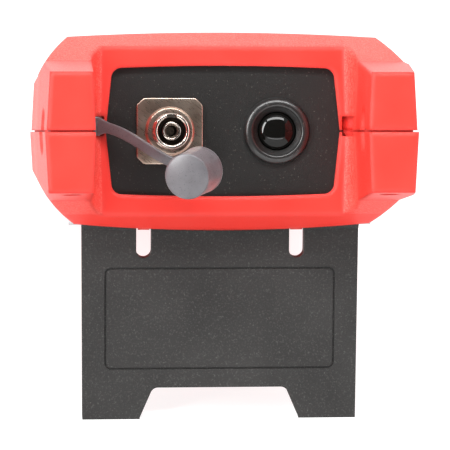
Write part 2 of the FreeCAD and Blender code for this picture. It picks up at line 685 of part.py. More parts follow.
def end_panel():
    back = PANEL_FRONT + PANEL_THICKNESS
    plate = prism("xz", panel_steps(PANEL_LIP), PANEL_FRONT, back)
    ring_front = PANEL_FRONT - RING_HEIGHT
    ring = turned([(RING_LIP_RADIUS - PAST, back), (RING_LIP_RADIUS - PAST, ring_front),
                   (RING_RADIUS - RING_ROUND, ring_front),
                   (bulge((RING_RADIUS - RING_ROUND, ring_front), (RING_RADIUS, ring_front + RING_ROUND),
                          -RING_ROUND * ROUND_RISE), (RING_RADIUS, ring_front + RING_ROUND)),
                   (RING_RADIUS + RING_FLARE, PANEL_FRONT), (RING_RADIUS + RING_FLARE, back)], LAMP_X)
    lens_y = PANEL_FRONT + LENS_SEAT
    light = LENS_RADIUS - LENS_LEDGE
    funnel = turned([(0, ring_front - PAST), (RING_LIP_RADIUS + RING_FLARE, ring_front - PAST),
                     (RING_LIP_RADIUS, ring_front), (LENS_RADIUS, lens_y - LENS_EDGE), (LENS_RADIUS, lens_y),
                     (light, lens_y), (light, back + PAST), (0, back + PAST)], LAMP_X)
    port = rod((PORT_X, PANEL_FRONT - PAST, 0), (PORT_X, back + PAST, 0), BARREL_TAIL_RADIUS)
    return plate.fuse(ring).cut([funnel, port])


def fc_flange():
    """Square adapter plate with its round shoulder, seated on the panel."""
    front = PANEL_FRONT - FLANGE_THICKNESS
    half, cut = FLANGE_SIZE / 2, FLANGE_CHAMFER
    steps = [(PORT_X - half + cut, -half), (PORT_X + half - cut, -half), (PORT_X + half, cut - half),
             (PORT_X + half, half - cut), (PORT_X + half - cut, half), (PORT_X - half + cut, half),
             (PORT_X - half, half - cut), (PORT_X - half, cut - half)]
    plate = prism("xz", steps, front, PANEL_FRONT)
    shoulder_front = front - SHOULDER_LENGTH
    shoulder = turned([(0, front), (SHOULDER_RADIUS + METAL_EDGE, front),
                       (SHOULDER_RADIUS, front - METAL_EDGE),
                       (SHOULDER_RADIUS, shoulder_front + METAL_EDGE),
                       (SHOULDER_RADIUS - METAL_EDGE, shoulder_front), (0, shoulder_front)], PORT_X)
    bore = rod((PORT_X, shoulder_front - PAST, 0), (PORT_X, PANEL_FRONT + PAST, 0), BARREL_TAIL_RADIUS)
    return plate.fuse(shoulder).cut(bore)


def fc_barrel():
    """Barrel with its open socket, the sleeve holder inside it and the keyway at its top."""
    lip = PANEL_FRONT - BARREL_LENGTH
    thread_end = PANEL_FRONT - FLANGE_THICKNESS - SHOULDER_LENGTH - THREAD_RELIEF
    holder_front = lip + SLEEVE_HOLDER_SETBACK
    floor = lip + SOCKET_DEPTH
    back = PANEL_FRONT + TAIL_LENGTH
    inner = BARREL_RADIUS - BARREL_WALL
    body = turned([(SLEEVE_RADIUS, holder_front), (SLEEVE_HOLDER_RADIUS, holder_front),
                   (SLEEVE_HOLDER_RADIUS, floor), (inner, floor), (inner, lip + METAL_EDGE / 2),
                   (inner + METAL_EDGE / 2, lip), (BARREL_RADIUS - METAL_EDGE, lip),
                   (BARREL_RADIUS, lip + METAL_EDGE), (BARREL_RADIUS, thread_end),
                   (BARREL_TAIL_RADIUS, thread_end), (BARREL_TAIL_RADIUS, back),
                   (SLEEVE_RADIUS, back)], PORT_X)
    keyway = box(PORT_X - KEYWAY_WIDTH / 2, PORT_X + KEYWAY_WIDTH / 2, lip - PAST, lip + KEYWAY_DEPTH,
                 SLEEVE_HOLDER_RADIUS + PAST / 2, BARREL_RADIUS + PAST)
    return body.cut(keyway)


def fc_sleeve():
    front = PANEL_FRONT - BARREL_LENGTH + SLEEVE_HOLDER_SETBACK + SLEEVE_SETBACK
    back = PANEL_FRONT + TAIL_LENGTH
    bore = FERRULE_RADIUS + FERRULE_PLAY
    return turned([(bore, front + SLEEVE_LEAD), (bore + SLEEVE_LEAD, front), (SLEEVE_RADIUS, front),
                   (SLEEVE_RADIUS, back), (bore, back)], PORT_X)


def fc_ferrule():
    front = PANEL_FRONT - BARREL_LENGTH + SOCKET_DEPTH + FERRULE_SETBACK
    back = PANEL_FRONT + TAIL_LENGTH + FERRULE_TAIL
    return turned([(0, front), (FERRULE_RADIUS - FERRULE_EDGE, front), (FERRULE_RADIUS, front + FERRULE_EDGE),
                   (FERRULE_RADIUS, back), (0, back)], PORT_X)


def fc_nut():
    front = PANEL_FRONT + PANEL_THICKNESS
    radius = NUT_ACROSS / 2 / math.cos(math.pi / 6)
    steps = [(PORT_X + radius * math.cos(math.radians(a)), radius * math.sin(math.radians(a)))
             for a in range(0, 360, 60)]
    hexagon = prism("xz", steps, front, front + NUT_THICKNESS)
    back = front + NUT_THICKNESS
    return hexagon.cut(rod((PORT_X, front - PAST, 0), (PORT_X, back + PAST, 0), BARREL_TAIL_RADIUS))


def lamp_lens():
    seat = PANEL_FRONT + LENS_SEAT
    crown, edge = (0, seat - LENS_DOME), (LENS_RADIUS, seat - LENS_EDGE + PANEL_PLAY)
    inner = LENS_RADIUS - LENS_LEDGE
    back = seat + LENS_THICKNESS - LENS_SKIRT
    return turned([crown, (bulge(crown, edge, -LENS_BELLY), edge), (LENS_RADIUS, seat), (inner, seat),
                   (inner, back), (0, back)], LAMP_X)


def lamp_led():
    front = PANEL_FRONT + LENS_SEAT + LENS_THICKNESS
    back = front + LED_HEIGHT
    dome_edge = (LED_DOME_RADIUS, front + LED_DOME_HEIGHT)
    return turned([(0, front), (bulge((0, front), dome_edge, -LED_DOME_HEIGHT / 4), dome_edge),
                   (LED_RADIUS, front + LED_DOME_HEIGHT), (LED_RADIUS, back), (0, back)], LAMP_X)


def lamp_board():
    front = PANEL_FRONT + LENS_SEAT + LENS_THICKNESS + LED_HEIGHT
    half = LAMP_BOARD_SIZE / 2
    board = box(LAMP_X - half, LAMP_X + half, front, front + LAMP_BOARD_THICKNESS, -half, half)
    back = PANEL_FRONT + PANEL_THICKNESS
    away = half - LAMP_POST_INSET
    posts = [rod((LAMP_X + x, back, z), (LAMP_X + x, front, z), LAMP_POST_RADIUS)
             for x in (away, -away) for z in (away, -away)]
    return board.fuse(posts)


# ---- Dust cap ------------------------------------------------------------------------------

def dust_cap():
    """Cap whose closed end looks out of the bay; its open rim is at CAP_RIM."""
    inner = CAP_BORE_RADIUS
    side_end = (CAP_RADIUS, CAP_LENGTH - CAP_EDGE)
    face_start = (CAP_RADIUS - CAP_EDGE, CAP_LENGTH)
    profile = [(inner, 0), (CAP_RADIUS - CAP_RIM_EDGE, 0), (CAP_RADIUS, CAP_RIM_EDGE), side_end,
               (bulge(side_end, face_start, -CAP_EDGE * ROUND_RISE), face_start), (0, CAP_LENGTH),
               (0, CAP_BORE_DEPTH), (inner - CAP_RIM_EDGE, CAP_BORE_DEPTH),
               (inner, CAP_BORE_DEPTH - CAP_RIM_EDGE)]
    cap = turned(profile, 0)
    turn = FreeCAD.Rotation(Vector(0, 1, 0), Vector(*CAP_DIRECTION))
    cap.Placement = FreeCAD.Placement(Vector(*CAP_RIM), turn)
    return cap


def strap_route():
    """Points and directions along the strap's middle line, a curve from anchor to cap."""
    way = Vector(*CAP_DIRECTION).normalize()
    rim = Vector(*CAP_RIM) + way * STRAP_RISE
    sweep = Vector(*STRAP_SWEEP)
    toward = sweep - rim
    toward = (toward - way * toward.dot(way)).normalize()
    end = rim + toward * (CAP_RADIUS - STRAP_THICKNESS / 3)
    a, b, c, d = Vector(*STRAP_START), Vector(*STRAP_LEAD), sweep, end
    route = []
    for i in range(STRAP_PIECES + 1):
        t = i / STRAP_PIECES
        u = 1 - t
        here = a * u ** 3 + b * 3 * u * u * t + c * 3 * u * t * t + d * t ** 3
        along = (b - a) * u * u + (c - b) * 2 * u * t + (d - c) * t * t
        route.append((here, along.normalize(), t))
    return route


def cap_strap():
    """Flat ribbon from the anchor's neck to the side of the cap, turning a little on its way."""
    wires = []
    for here, along, t in strap_route():
        face = Vector(*STRAP_FACE_START) * (1 - t) + Vector(*STRAP_FACE_END) * t
        face = (face - along * face.dot(along)).normalize()
        width = STRAP_WIDTH + STRAP_ROOT * max(0.0, 1 - t / STRAP_ROOT_END)
        a = along.cross(face) * (width / 2)
        b = face * (STRAP_THICKNESS / 2)
        wires.append(Part.makePolygon([here + a + b, here - a + b, here - a - b, here + a - b, here + a + b]))
    way = Vector(*CAP_DIRECTION).normalize()
    core = Part.makeCylinder(CAP_RADIUS, CAP_LENGTH, Vector(*CAP_RIM), way)
    return loft(*wires).cut(core)


def strap_anchor():
    """Flared T end of the strap, held in the left pocket."""
    play = PANEL_PLAY
    start = Vector(*STRAP_START)
    low, high = POCKET_BOTTOM + play, POCKET_TOP - play
    wide_x = -POCKET_OUTER_X + play
    neck_x = start.x - STRAP_THICKNESS / 2 - ANCHOR_PLAY
    half = (STRAP_WIDTH + STRAP_ROOT) / 2
    flare_x = wide_x + ANCHOR_BAR
    steps = [(wide_x, low), (wide_x, high), (flare_x, high), (neck_x, start.z + half),
             (neck_x, start.z - half), (flare_x, low)]
    return prism("xz", steps, start.y - STRAP_THICKNESS, POCKET_BACK - play)


# ---- Face ----------------------------------------------------------------------------------

def key_layout():
    """Every key as name: (x, y, width, length); left and right are those of the user at the foot end."""
    keys = {}
    for number in range(4):
        keys["key_soft_%d" % (number + 1)] = ((number - 1.5) * SOFT_KEY_PITCH, SOFT_KEY_Y) + SOFT_KEY
    keys["key_enter"] = (0.0, NAV_Y) + ENTER_KEY
    reach = NAV_PITCH
    keys["key_up"] = (0.0, NAV_Y - reach) + NAV_KEY
    keys["key_down"] = (0.0, NAV_Y + reach) + NAV_KEY
    keys["key_left"] = (reach, NAV_Y) + NAV_KEY[::-1]
    keys["key_right"] = (-reach, NAV_Y) + NAV_KEY[::-1]
    near, far = NAV_Y - SIDE_KEY_REACH, NAV_Y + SIDE_KEY_REACH
    keys["key_back"] = (-SIDE_KEY_X, near) + SIDE_KEY
    keys["key_menu"] = (SIDE_KEY_X, near) + SIDE_KEY
    keys["key_power"] = (-SIDE_KEY_X, far) + SIDE_KEY
    keys["key_test"] = (SIDE_KEY_X, far) + SIDE_KEY
    return keys


def key_steps(key, grow=0.0):
    x, y, width, length = key
    return rounded(x, y, width + 2 * grow, length + 2 * grow, KEY_CORNER + grow)


def window_steps(grow=0.0):
    radius = max(WINDOW_RADIUS + grow, WINDOW_RADIUS / 2)
    return rounded(0, (WINDOW_START + WINDOW_END) / 2, WINDOW_WIDTH + 2 * grow,
                   WINDOW_END - WINDOW_START + 2 * grow, radius)


def face_bezel():
    bottom = BEZEL_TOP - BEZEL_THICKNESS
    steps = rounded(0, (BEZEL_START + BEZEL_END) / 2, 2 * BEZEL_HALF_WIDTH, BEZEL_END - BEZEL_START,
                    BEZEL_RADIUS - FACE_PLAY)
    plate = prism("xy", steps, bottom, BEZEL_TOP)
    plate = plate.makeChamfer(BEZEL_EDGE, [e for e in plate.Edges if e.BoundBox.ZMin > BEZEL_TOP - TINY])
    seat = prism("xy", window_steps(FACE_PLAY), BEZEL_TOP - WINDOW_THICKNESS, BEZEL_TOP + PAST)
    view = prism("xy", window_steps(-WINDOW_LEDGE), bottom - PAST, BEZEL_TOP)
    holes = [prism("xy", key_steps(key, KEY_PLAY), bottom - PAST, BEZEL_TOP + PAST)
             for key in key_layout().values()]
    return plate.cut([seat, view] + holes)


def display_window():
    return prism("xy", window_steps(), BEZEL_TOP - WINDOW_THICKNESS, BEZEL_TOP)


def display_module():
    top = BEZEL_TOP - BEZEL_THICKNESS - FACE_WALL
    x, y = WINDOW_WIDTH / 2 + DISPLAY_MARGIN[0], DISPLAY_MARGIN[1]
    return box(-x, x, WINDOW_START - y, WINDOW_END + y, top - DISPLAY_THICKNESS, top)


def key_cap(key):
    """Key with a bevelled crown, a flange under the bezel and a stem that ends over its dome."""
    top = BEZEL_TOP + KEY_HEIGHT
    flange_top = BEZEL_TOP - BEZEL_THICKNESS - KEY_REST_GAP
    cap = prism("xy", key_steps(key), flange_top, top - KEY_BEVEL)
    crown = loft(outline("xy", key_steps(key), top - KEY_BEVEL),
                 outline("xy", key_steps(key, -KEY_BEVEL), top))
    flange = prism("xy", key_steps(key, KEY_FLANGE_REACH), flange_top - KEY_FLANGE, flange_top)
    tip = keypad_board_top() + DOME_HEIGHT + KEY_TRAVEL + KEY_REST_GAP
    stem = Part.makeCylinder(STEM_RADIUS, flange_top - tip, Vector(key[0], key[1], tip))
    return cap.fuse([crown, flange, stem]).removeSplitter()


def keypad_board():
    top = keypad_board_top()
    half = KEY_FIELD_HALF_WIDTH + KEYPAD_BOARD_LEDGE
    return box(-half, half, KEY_FIELD_START, KEY_FIELD_END, top - KEYPAD_BOARD_THICKNESS, top)


def key_mat():
    top = keypad_board_top()
    half = KEY_FIELD_HALF_WIDTH - MAT_PLAY
    mat = box(-half, half, KEY_FIELD_START + MAT_PLAY, KEY_FIELD_END - MAT_PLAY, top, top + MAT_THICKNESS)
    holes = [Part.makeCylinder(MAT_HOLE_RADIUS, MAT_THICKNESS + 2 * PAST, Vector(key[0], key[1], top - PAST))
             for key in key_layout().values()]
    return mat.cut(holes)


def switch_domes():
    top = keypad_board_top()
    domes = [Part.makeCone(DOME_RADIUS, DOME_TOP_RADIUS, DOME_HEIGHT, Vector(key[0], key[1], top))
             for key in key_layout().values()]
    return Part.makeCompound(domes)


# ---- Stand ---------------------------------------------------------------------------------

def rest_tilt():
    """Lean of the instrument when the stand's soles and the rear pads are on one level."""
    sole_y = STAND_Y + STAND_LENGTH * math.sin(STAND_OPEN_LEAN)
    sole_z = STAND_Z - STAND_LENGTH * math.cos(STAND_OPEN_LEAN)
    pad_y = FOOT_PAD_Y + FOOT_PAD_SIZE[1] / 2
    return math.atan2(FOOT_PAD_BOTTOM - sole_z, pad_y - sole_y)


def groove_steps(inset=0.0):
    middle = STAND_Z - (GROOVE_START + GROOVE_END) / 2
    return rounded(0, middle, 2 * (GROOVE_HALF_WIDTH - inset), GROOVE_END - GROOVE_START - 2 * inset,
                   GROOVE_RADIUS - inset)


def stand_plate():
    """Stand as it hangs from the hinge, pointing down, then leaned to its open stop."""
    sole = STAND_Z - STAND_LENGTH
    top = STAND_Z + STAND_HEEL
    half = STAND_THICKNESS / 2
    notch_z = sole + NOTCH_HEIGHT
    lean = (NOTCH_BOTTOM_HALF - NOTCH_TOP_HALF) / NOTCH_HEIGHT
    round_start = (NOTCH_TOP_HALF - NOTCH_RADIUS, notch_z)
    round_end = (NOTCH_TOP_HALF + lean * NOTCH_RADIUS, notch_z - NOTCH_RADIUS)
    past_sole = sole - SOLE_SPARE
    notch = [(0, notch_z), round_start, (bulge(round_start, round_end, NOTCH_RADIUS * ROUND_RISE), round_end),
             (NOTCH_BOTTOM_HALF, sole), (NOTCH_BOTTOM_HALF, past_sole - PAST), (0, past_sole - PAST)]
    half_plate = [(0, top), (STAND_HALF_WIDTH, top), (STAND_HALF_WIDTH, STAND_Z),
                  (STAND_FOOT_HALF_WIDTH, past_sole), (0, past_sole)]
    plate = prism("xz", mirrored(half_plate), STAND_Y - half, STAND_Y + half)
    barrel = across(STAND_HALF_WIDTH, STAND_KNUCKLE_RADIUS)
    front = STAND_Y - half
    groove_floor = front + GROOVE_DEPTH
    groove = prism("xz", groove_steps(), front - PAST, groove_floor)
    land = prism("xz", groove_steps(GROOVE_WIDTH), front - 2 * PAST, groove_floor + PAST)
    deep = STAND_KNUCKLE_RADIUS + PAST
    back_y, front_y = STAND_Y - deep, STAND_Y + deep
    slot_z = STAND_Z - SLOT_END + SLOT_WIDTH / 2
    slots = []
    for x in (-SLOT_X, SLOT_X):
        slots.append(box(x - SLOT_WIDTH / 2, x + SLOT_WIDTH / 2, back_y, front_y, slot_z, top + deep))
        slots.append(rod((x, back_y, slot_z), (x, front_y, slot_z), SLOT_WIDTH / 2))
    bore = across(STAND_HALF_WIDTH + PAST, PIN_RADIUS + PIN_PLAY)
    cutters = [groove.cut(land), prism("xz", mirrored(notch), back_y, front_y), bore]
    stand = plate.fuse(barrel).cut(cutters + slots).removeSplitter()
    axis = Vector(0, STAND_Y, STAND_Z)
    stand.rotate(axis, Vector(1, 0, 0), math.degrees(STAND_OPEN_LEAN))
    tilt = rest_tilt()
    sole_middle = axis + Vector(0, math.sin(STAND_OPEN_LEAN), -math.cos(STAND_OPEN_LEAN)) * STAND_LENGTH
    wide, deep = STAND_HALF_WIDTH + PAST, 2 * STAND_THICKNESS
    floor = box(-wide, wide, -deep, deep, -2 * SOLE_SPARE, 0)
    floor.rotate(Vector(0, 0, 0), Vector(1, 0, 0), math.degrees(tilt))
    floor.translate(sole_middle)
    return stand.cut(floor)


def stand_pins():
    """Two steel pins, each through a housing lug and one outer knuckle of the stand."""
    inner = SLOT_X - LUG_THICKNESS / 2
    outer = STAND_HALF_WIDTH + RECESS_PLAY + WALL
    pin = rod((inner, STAND_Y, STAND_Z), (outer, STAND_Y, STAND_Z), PIN_RADIUS)
    return Part.makeCompound(both_sides(pin))


# ---- Rear side -----------------------------------------------------------------------------

def cover_screw_rows():
    return (COVER_START + COVER_SCREW_INSET, COVER_END - COVER_SCREW_INSET)


def cover_screw_seat():
    return COVER_TOP_Z - COVER_SCREW_SKIN


def screw(x, y, seat, length):
    """Pan head screw whose head bears on height seat, with a cross recess in its head."""
    bottom = seat - SCREW_HEAD_HEIGHT
    head = Part.makeCylinder(SCREW_HEAD_RADIUS, SCREW_HEAD_HEIGHT, Vector(x, y, bottom))
    head = head.makeFillet(SCREW_HEAD_ROUND, [e for e in head.Edges if e.BoundBox.ZMax < bottom + TINY])
    shank = Part.makeCylinder(SCREW_SHANK_RADIUS, length, Vector(x, y, seat))
    cross = [box(x - a, x + a, y - b, y + b, bottom - PAST, bottom + DRIVE_DEPTH)
             for a, b in ((DRIVE_RADIUS, DRIVE_WIDTH / 2), (DRIVE_WIDTH / 2, DRIVE_RADIUS))]
    return head.fuse(shank).cut(cross)


def case_screws():
    return Part.makeCompound([screw(x, y, SCREW_SEAT, SCREW_TIP - SCREW_SEAT) for x, y in screw_axes()])


def battery_cover():
    middle = (COVER_START + COVER_END) / 2
    steps = rounded(0, middle, 2 * COVER_HALF_WIDTH, COVER_END - COVER_START, COVER_RADIUS - COVER_PLAY)
    skin = prism("xy", steps, -REAR_CROWN - PAST, COVER_TOP_Z)
    cover = skin.common(envelope(-1))
    grips = []
    for row in range(GRIP_COUNT):
        y = middle + (row - (GRIP_COUNT - 1) / 2) * GRIP_PITCH
        grips.append(box(-GRIP_HALF_WIDTH, GRIP_HALF_WIDTH, y - GRIP_WIDTH / 2, y + GRIP_WIDTH / 2,
                         -REAR_CROWN - PAST, -REAR_CROWN + GRIP_DEPTH))
    outside = -REAR_CROWN - PAST
    through = SCREW_SHANK_RADIUS + SCREW_SHANK_PLAY
    recess = cover_screw_seat() - outside
    holes = []
    for y in cover_screw_rows():
        holes.append(Part.makeCylinder(through, PAST - outside, Vector(0, y, outside)))
        holes.append(Part.makeCylinder(SCREW_RECESS_RADIUS, recess, Vector(0, y, outside)))
    return cover.cut(grips + holes)


def cover_screws():
    seat = cover_screw_seat()
    length = COVER_TOP_Z + COVER_LEDGE - seat
    return Part.makeCompound([screw(0, y, seat, length) for y in cover_screw_rows()])


def battery_pack():
    """Two round cells side by side in one wrap."""
    bottom = COVER_TOP_Z + BATTERY_PLAY
    x = BATTERY_WIDTH / 2 - CELL_RADIUS
    z = bottom + BATTERY_HEIGHT / 2
    cells = both_sides(rod((x, BATTERY_START, z), (x, BATTERY_END, z), CELL_RADIUS))
    web = box(-x, x, BATTERY_START, BATTERY_END, bottom, bottom + BATTERY_HEIGHT)
    return web.fuse(cells).removeSplitter()


def battery_contacts():
    """Spring contact block between the pack and the main board."""
    width, length = CONTACTS_SIZE
    end = BATTERY_END - CONTACTS_INSET
    top_of_pack = COVER_TOP_Z + BATTERY_PLAY + BATTERY_HEIGHT
    return box(-width / 2, width / 2, end - length, end, top_of_pack, MAIN_BOARD_BOTTOM)


def rear_feet():
    return Part.makeCompound(both_sides(foot_pad(0, FOOT_PAD_BOTTOM)))


# ---- Electronics ---------------------------------------------------------------------------

def main_board():
    return box(-MAIN_BOARD_HALF_WIDTH, MAIN_BOARD_HALF_WIDTH, MAIN_BOARD_START, MAIN_BOARD_END,
               MAIN_BOARD_BOTTOM, MAIN_BOARD_BOTTOM + MAIN_BOARD_THICKNESS)


def shield_cans():
    top = MAIN_BOARD_BOTTOM + MAIN_BOARD_THICKNESS
    return Part.makeCompound([box(x0, x1, MAIN_BOARD_END - far, MAIN_BOARD_END - near, top, top + CAN_HEIGHT)
                              for x0, x1, far, near in CAN_PLACES])


def optical_module():
    """Laser and detector block under the main board, behind the port."""
    width, length, height = OPTICS_SIZE
    body = box(-width / 2, width / 2, OPTICS_Y, OPTICS_Y + length,
               MAIN_BOARD_BOTTOM - height, MAIN_BOARD_BOTTOM)
    middle = MAIN_BOARD_BOTTOM - height / 2
    return body.fuse(rod((PORT_X, OPTICS_Y - SNOUT_LENGTH, middle), (PORT_X, OPTICS_Y, middle), SNOUT_RADIUS))


def pigtail_fibre():
    """Fibre from the ferrule to the snout of the optical module."""
    start_y = PANEL_FRONT + TAIL_LENGTH + FERRULE_TAIL
    end_y = OPTICS_Y - SNOUT_LENGTH
    end_z = MAIN_BOARD_BOTTOM - OPTICS_SIZE[2] / 2
    return rod((PORT_X, start_y, 0), (PORT_X, end_y, end_z), FIBRE_RADIUS)


def buzzer():
    top = MAIN_BOARD_BOTTOM + MAIN_BOARD_THICKNESS
    return Part.makeCylinder(BUZZER_RADIUS, BUZZER_HEIGHT, Vector(*BUZZER_PLACE, top))


def usb_socket():
    z = MAIN_BOARD_BOTTOM + MAIN_BOARD_THICKNESS
    width, height = USB_SIZE
    middle = z + height / 2
    radius = height / 2 - FACE_PLAY
    skin = USB_SKIN
    floor_x = SOCKET_FACE_X - USB_DEPTH
    shell = prism("yz", rounded(USB_Y, middle, width, height, radius),
                  SOCKET_FACE_X - SOCKET_LENGTH, SOCKET_FACE_X)
    room = prism("yz", rounded(USB_Y, middle, width - 2 * skin, height - 2 * skin, radius - skin), floor_x,
                 SOCKET_FACE_X + PAST)
    tongue_y, tongue_z = TONGUE_SIZE
    tongue = box(floor_x, SOCKET_FACE_X - PAST, USB_Y - tongue_y / 2, USB_Y + tongue_y / 2,
                 middle - tongue_z / 2, middle + tongue_z / 2)
    return shell.cut(room).fuse(tongue)


def power_jack():
    z = MAIN_BOARD_BOTTOM + MAIN_BOARD_THICKNESS
    middle = z + JACK_SIZE / 2
    floor_x = SOCKET_FACE_X - SOCKET_LENGTH
    body = box(floor_x - JACK_BASE, SOCKET_FACE_X, JACK_Y - JACK_SIZE / 2, JACK_Y + JACK_SIZE / 2,
               z, z + JACK_SIZE)
    bore = rod((floor_x, JACK_Y, middle), (SOCKET_FACE_X + PAST, JACK_Y, middle), JACK_BORE_RADIUS)
    pin = rod((floor_x - WELD, JACK_Y, middle), (SOCKET_FACE_X - PAST, JACK_Y, middle), JACK_PIN_RADIUS)
    return body.cut(bore).fuse(pin)


def port_flap():
    """Rubber cover over the side sockets, hinged along its lower edge."""
    inner = FLAP_FACE_X - FLAP_THICKNESS + FLAP_PLAY
    outer = FLAP_FACE_X + FLAP_PLAY
    middle = FLAP_START + FLAP_LENGTH / 2
    top = FLAP_BOTTOM + FLAP_HEIGHT
    steps = rounded(middle, top - FLAP_HEIGHT / 2, FLAP_LENGTH, FLAP_HEIGHT, FLAP_RADIUS)
    body = prism("yz", steps, inner, outer)
    tab = box(outer, outer + TAB_RISE, middle - TAB_LENGTH / 2, middle + TAB_LENGTH / 2,
              top - TAB_INSET - TAB_WIDTH, top - TAB_INSET)
    return body.fuse(tab)


# ---- Placing and writing -------------------------------------------------------------------

def build():
    parts = {
        "front_housing": front_housing(),
        "rear_housing": rear_housing(),
        "case_seal": case_seal(),
        "end_panel": end_panel(),
        "fc_flange": fc_flange(),
        "fc_barrel": fc_barrel(),
        "fc_sleeve": fc_sleeve(),
        "fc_ferrule": fc_ferrule(),
        "fc_nut": fc_nut(),
        "lamp_lens": lamp_lens(),
        "lamp_led": lamp_led(),
        "lamp_board": lamp_board(),
        "dust_cap": dust_cap(),
        "cap_strap": cap_strap(),
        "strap_anchor": strap_anchor(),
        "face_bezel": face_bezel(),
        "display_window": display_window(),
        "display_module": display_module(),
        "keypad_board": keypad_board(),
        "key_mat": key_mat(),
        "switch_domes": switch_domes(),
        "stand_plate": stand_plate(),
        "stand_pins": stand_pins(),
        "case_screws": case_screws(),
        "battery_cover": battery_cover(),
        "cover_screws": cover_screws(),
        "battery_pack": battery_pack(),
        "battery_contacts": battery_contacts(),
        "rear_feet": rear_feet(),
        "main_board": main_board(),
        "shield_cans": shield_cans(),
        "optical_module": optical_module(),
        "pigtail_fibre": pigtail_fibre(),
        "buzzer": buzzer(),
        "usb_socket": usb_socket(),
        "power_jack": power_jack(),
        "port_flap": port_flap(),
    }
    for name, key in key_layout().items():
        parts[name] = key_cap(key)
    return parts


def lean_back(parts):
    """Tilt every part onto the stand and centre the whole on the point below its middle."""
    tilt = math.degrees(rest_tilt())
    for shape in parts.values():
        shape.rotate(Vector(0, 0, 0), Vector(1, 0, 0), -tilt)
    whole = FreeCAD.BoundBox()
    for shape in parts.values():
        whole.add(shape.optimalBoundingBox(False))
    shift = Vector(-whole.Center.x, -whole.Center.y, -whole.ZMin)
    for shape in parts.values():
        shape.translate(shift)
    return tilt, shift


def main():
    parts = build()
    tilt, shift = lean_back(parts)
    os.makedirs("parts", exist_ok=True)
    for name, shape in parts.items():
        shape.exportStep("parts/%s.step" % name)
    print("tilt %.3f degrees, shift %.3f %.3f %.3f" % (tilt, shift.x, shift.y, shift.z))


main()
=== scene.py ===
"""Visual model of the handheld fibre tester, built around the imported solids."""
import json
import math

import bmesh
import bpy
from mathutils import Matrix, Vector


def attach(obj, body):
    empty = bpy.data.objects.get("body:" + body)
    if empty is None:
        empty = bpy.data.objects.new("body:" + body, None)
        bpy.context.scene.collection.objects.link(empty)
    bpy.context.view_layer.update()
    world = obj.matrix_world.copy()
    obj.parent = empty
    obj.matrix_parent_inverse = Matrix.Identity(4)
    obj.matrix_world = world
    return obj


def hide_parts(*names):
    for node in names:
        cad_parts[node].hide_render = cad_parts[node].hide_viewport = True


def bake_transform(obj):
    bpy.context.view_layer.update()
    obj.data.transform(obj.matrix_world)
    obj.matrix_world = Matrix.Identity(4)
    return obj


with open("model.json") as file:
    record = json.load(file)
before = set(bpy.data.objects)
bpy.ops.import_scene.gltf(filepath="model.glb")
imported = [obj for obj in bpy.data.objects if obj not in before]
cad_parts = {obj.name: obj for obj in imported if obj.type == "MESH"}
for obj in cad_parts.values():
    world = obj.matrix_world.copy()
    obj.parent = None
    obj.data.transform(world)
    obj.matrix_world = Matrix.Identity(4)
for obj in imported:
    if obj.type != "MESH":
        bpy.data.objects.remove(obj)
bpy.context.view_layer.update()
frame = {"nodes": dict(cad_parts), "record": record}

MM = 0.001
NODES = frame["nodes"]


# ---- The instrument's own frame ------------------------------------------------------------
# X runs to the right, Y from the port end to the foot end, Z from the rear to the screen side.

def mount(name):
    return next(m for m in frame["record"]["mounts"] if m["name"] == name)


PORT_WAY = Vector(mount("fibre_port")["axis"])
TILT = math.atan2(PORT_WAY.z, -PORT_WAY.y)
LEAN = Matrix.Rotation(-TILT, 4, "X")


def leaned_box(name):
    """Lowest and highest corner of a CAD node in the instrument's own directions."""
    points = [LEAN.inverted() @ v.co for v in NODES[name].data.vertices]
    low = Vector(min(p[i] for p in points) for i in range(3))
    high = Vector(max(p[i] for p in points) for i in range(3))
    return low, high


def own_origin():
    """Parting plane, midway between the horn faces."""
    case, seal = leaned_box("front_housing"), leaned_box("case_seal")
    return LEAN @ Vector((0, case[0].y, (seal[0].z + seal[1].z) / 2))


ORIGIN = own_origin()
OWN = Matrix.Translation(ORIGIN) @ LEAN


def own_box(name):
    low, high = leaned_box(name)
    shift = LEAN.inverted() @ ORIGIN
    return low - shift, high - shift


def own(x, y, z):
    """Point of the row frame in metres from the instrument's own millimetres."""
    return OWN @ Vector((x * MM, y * MM, z * MM))


# ---- Nodes of a material -------------------------------------------------------------------

MIX_FIRST, MIX_SECOND = 6, 7  # colour inputs of a mix node
MIX_RESULT = 2                # its colour output


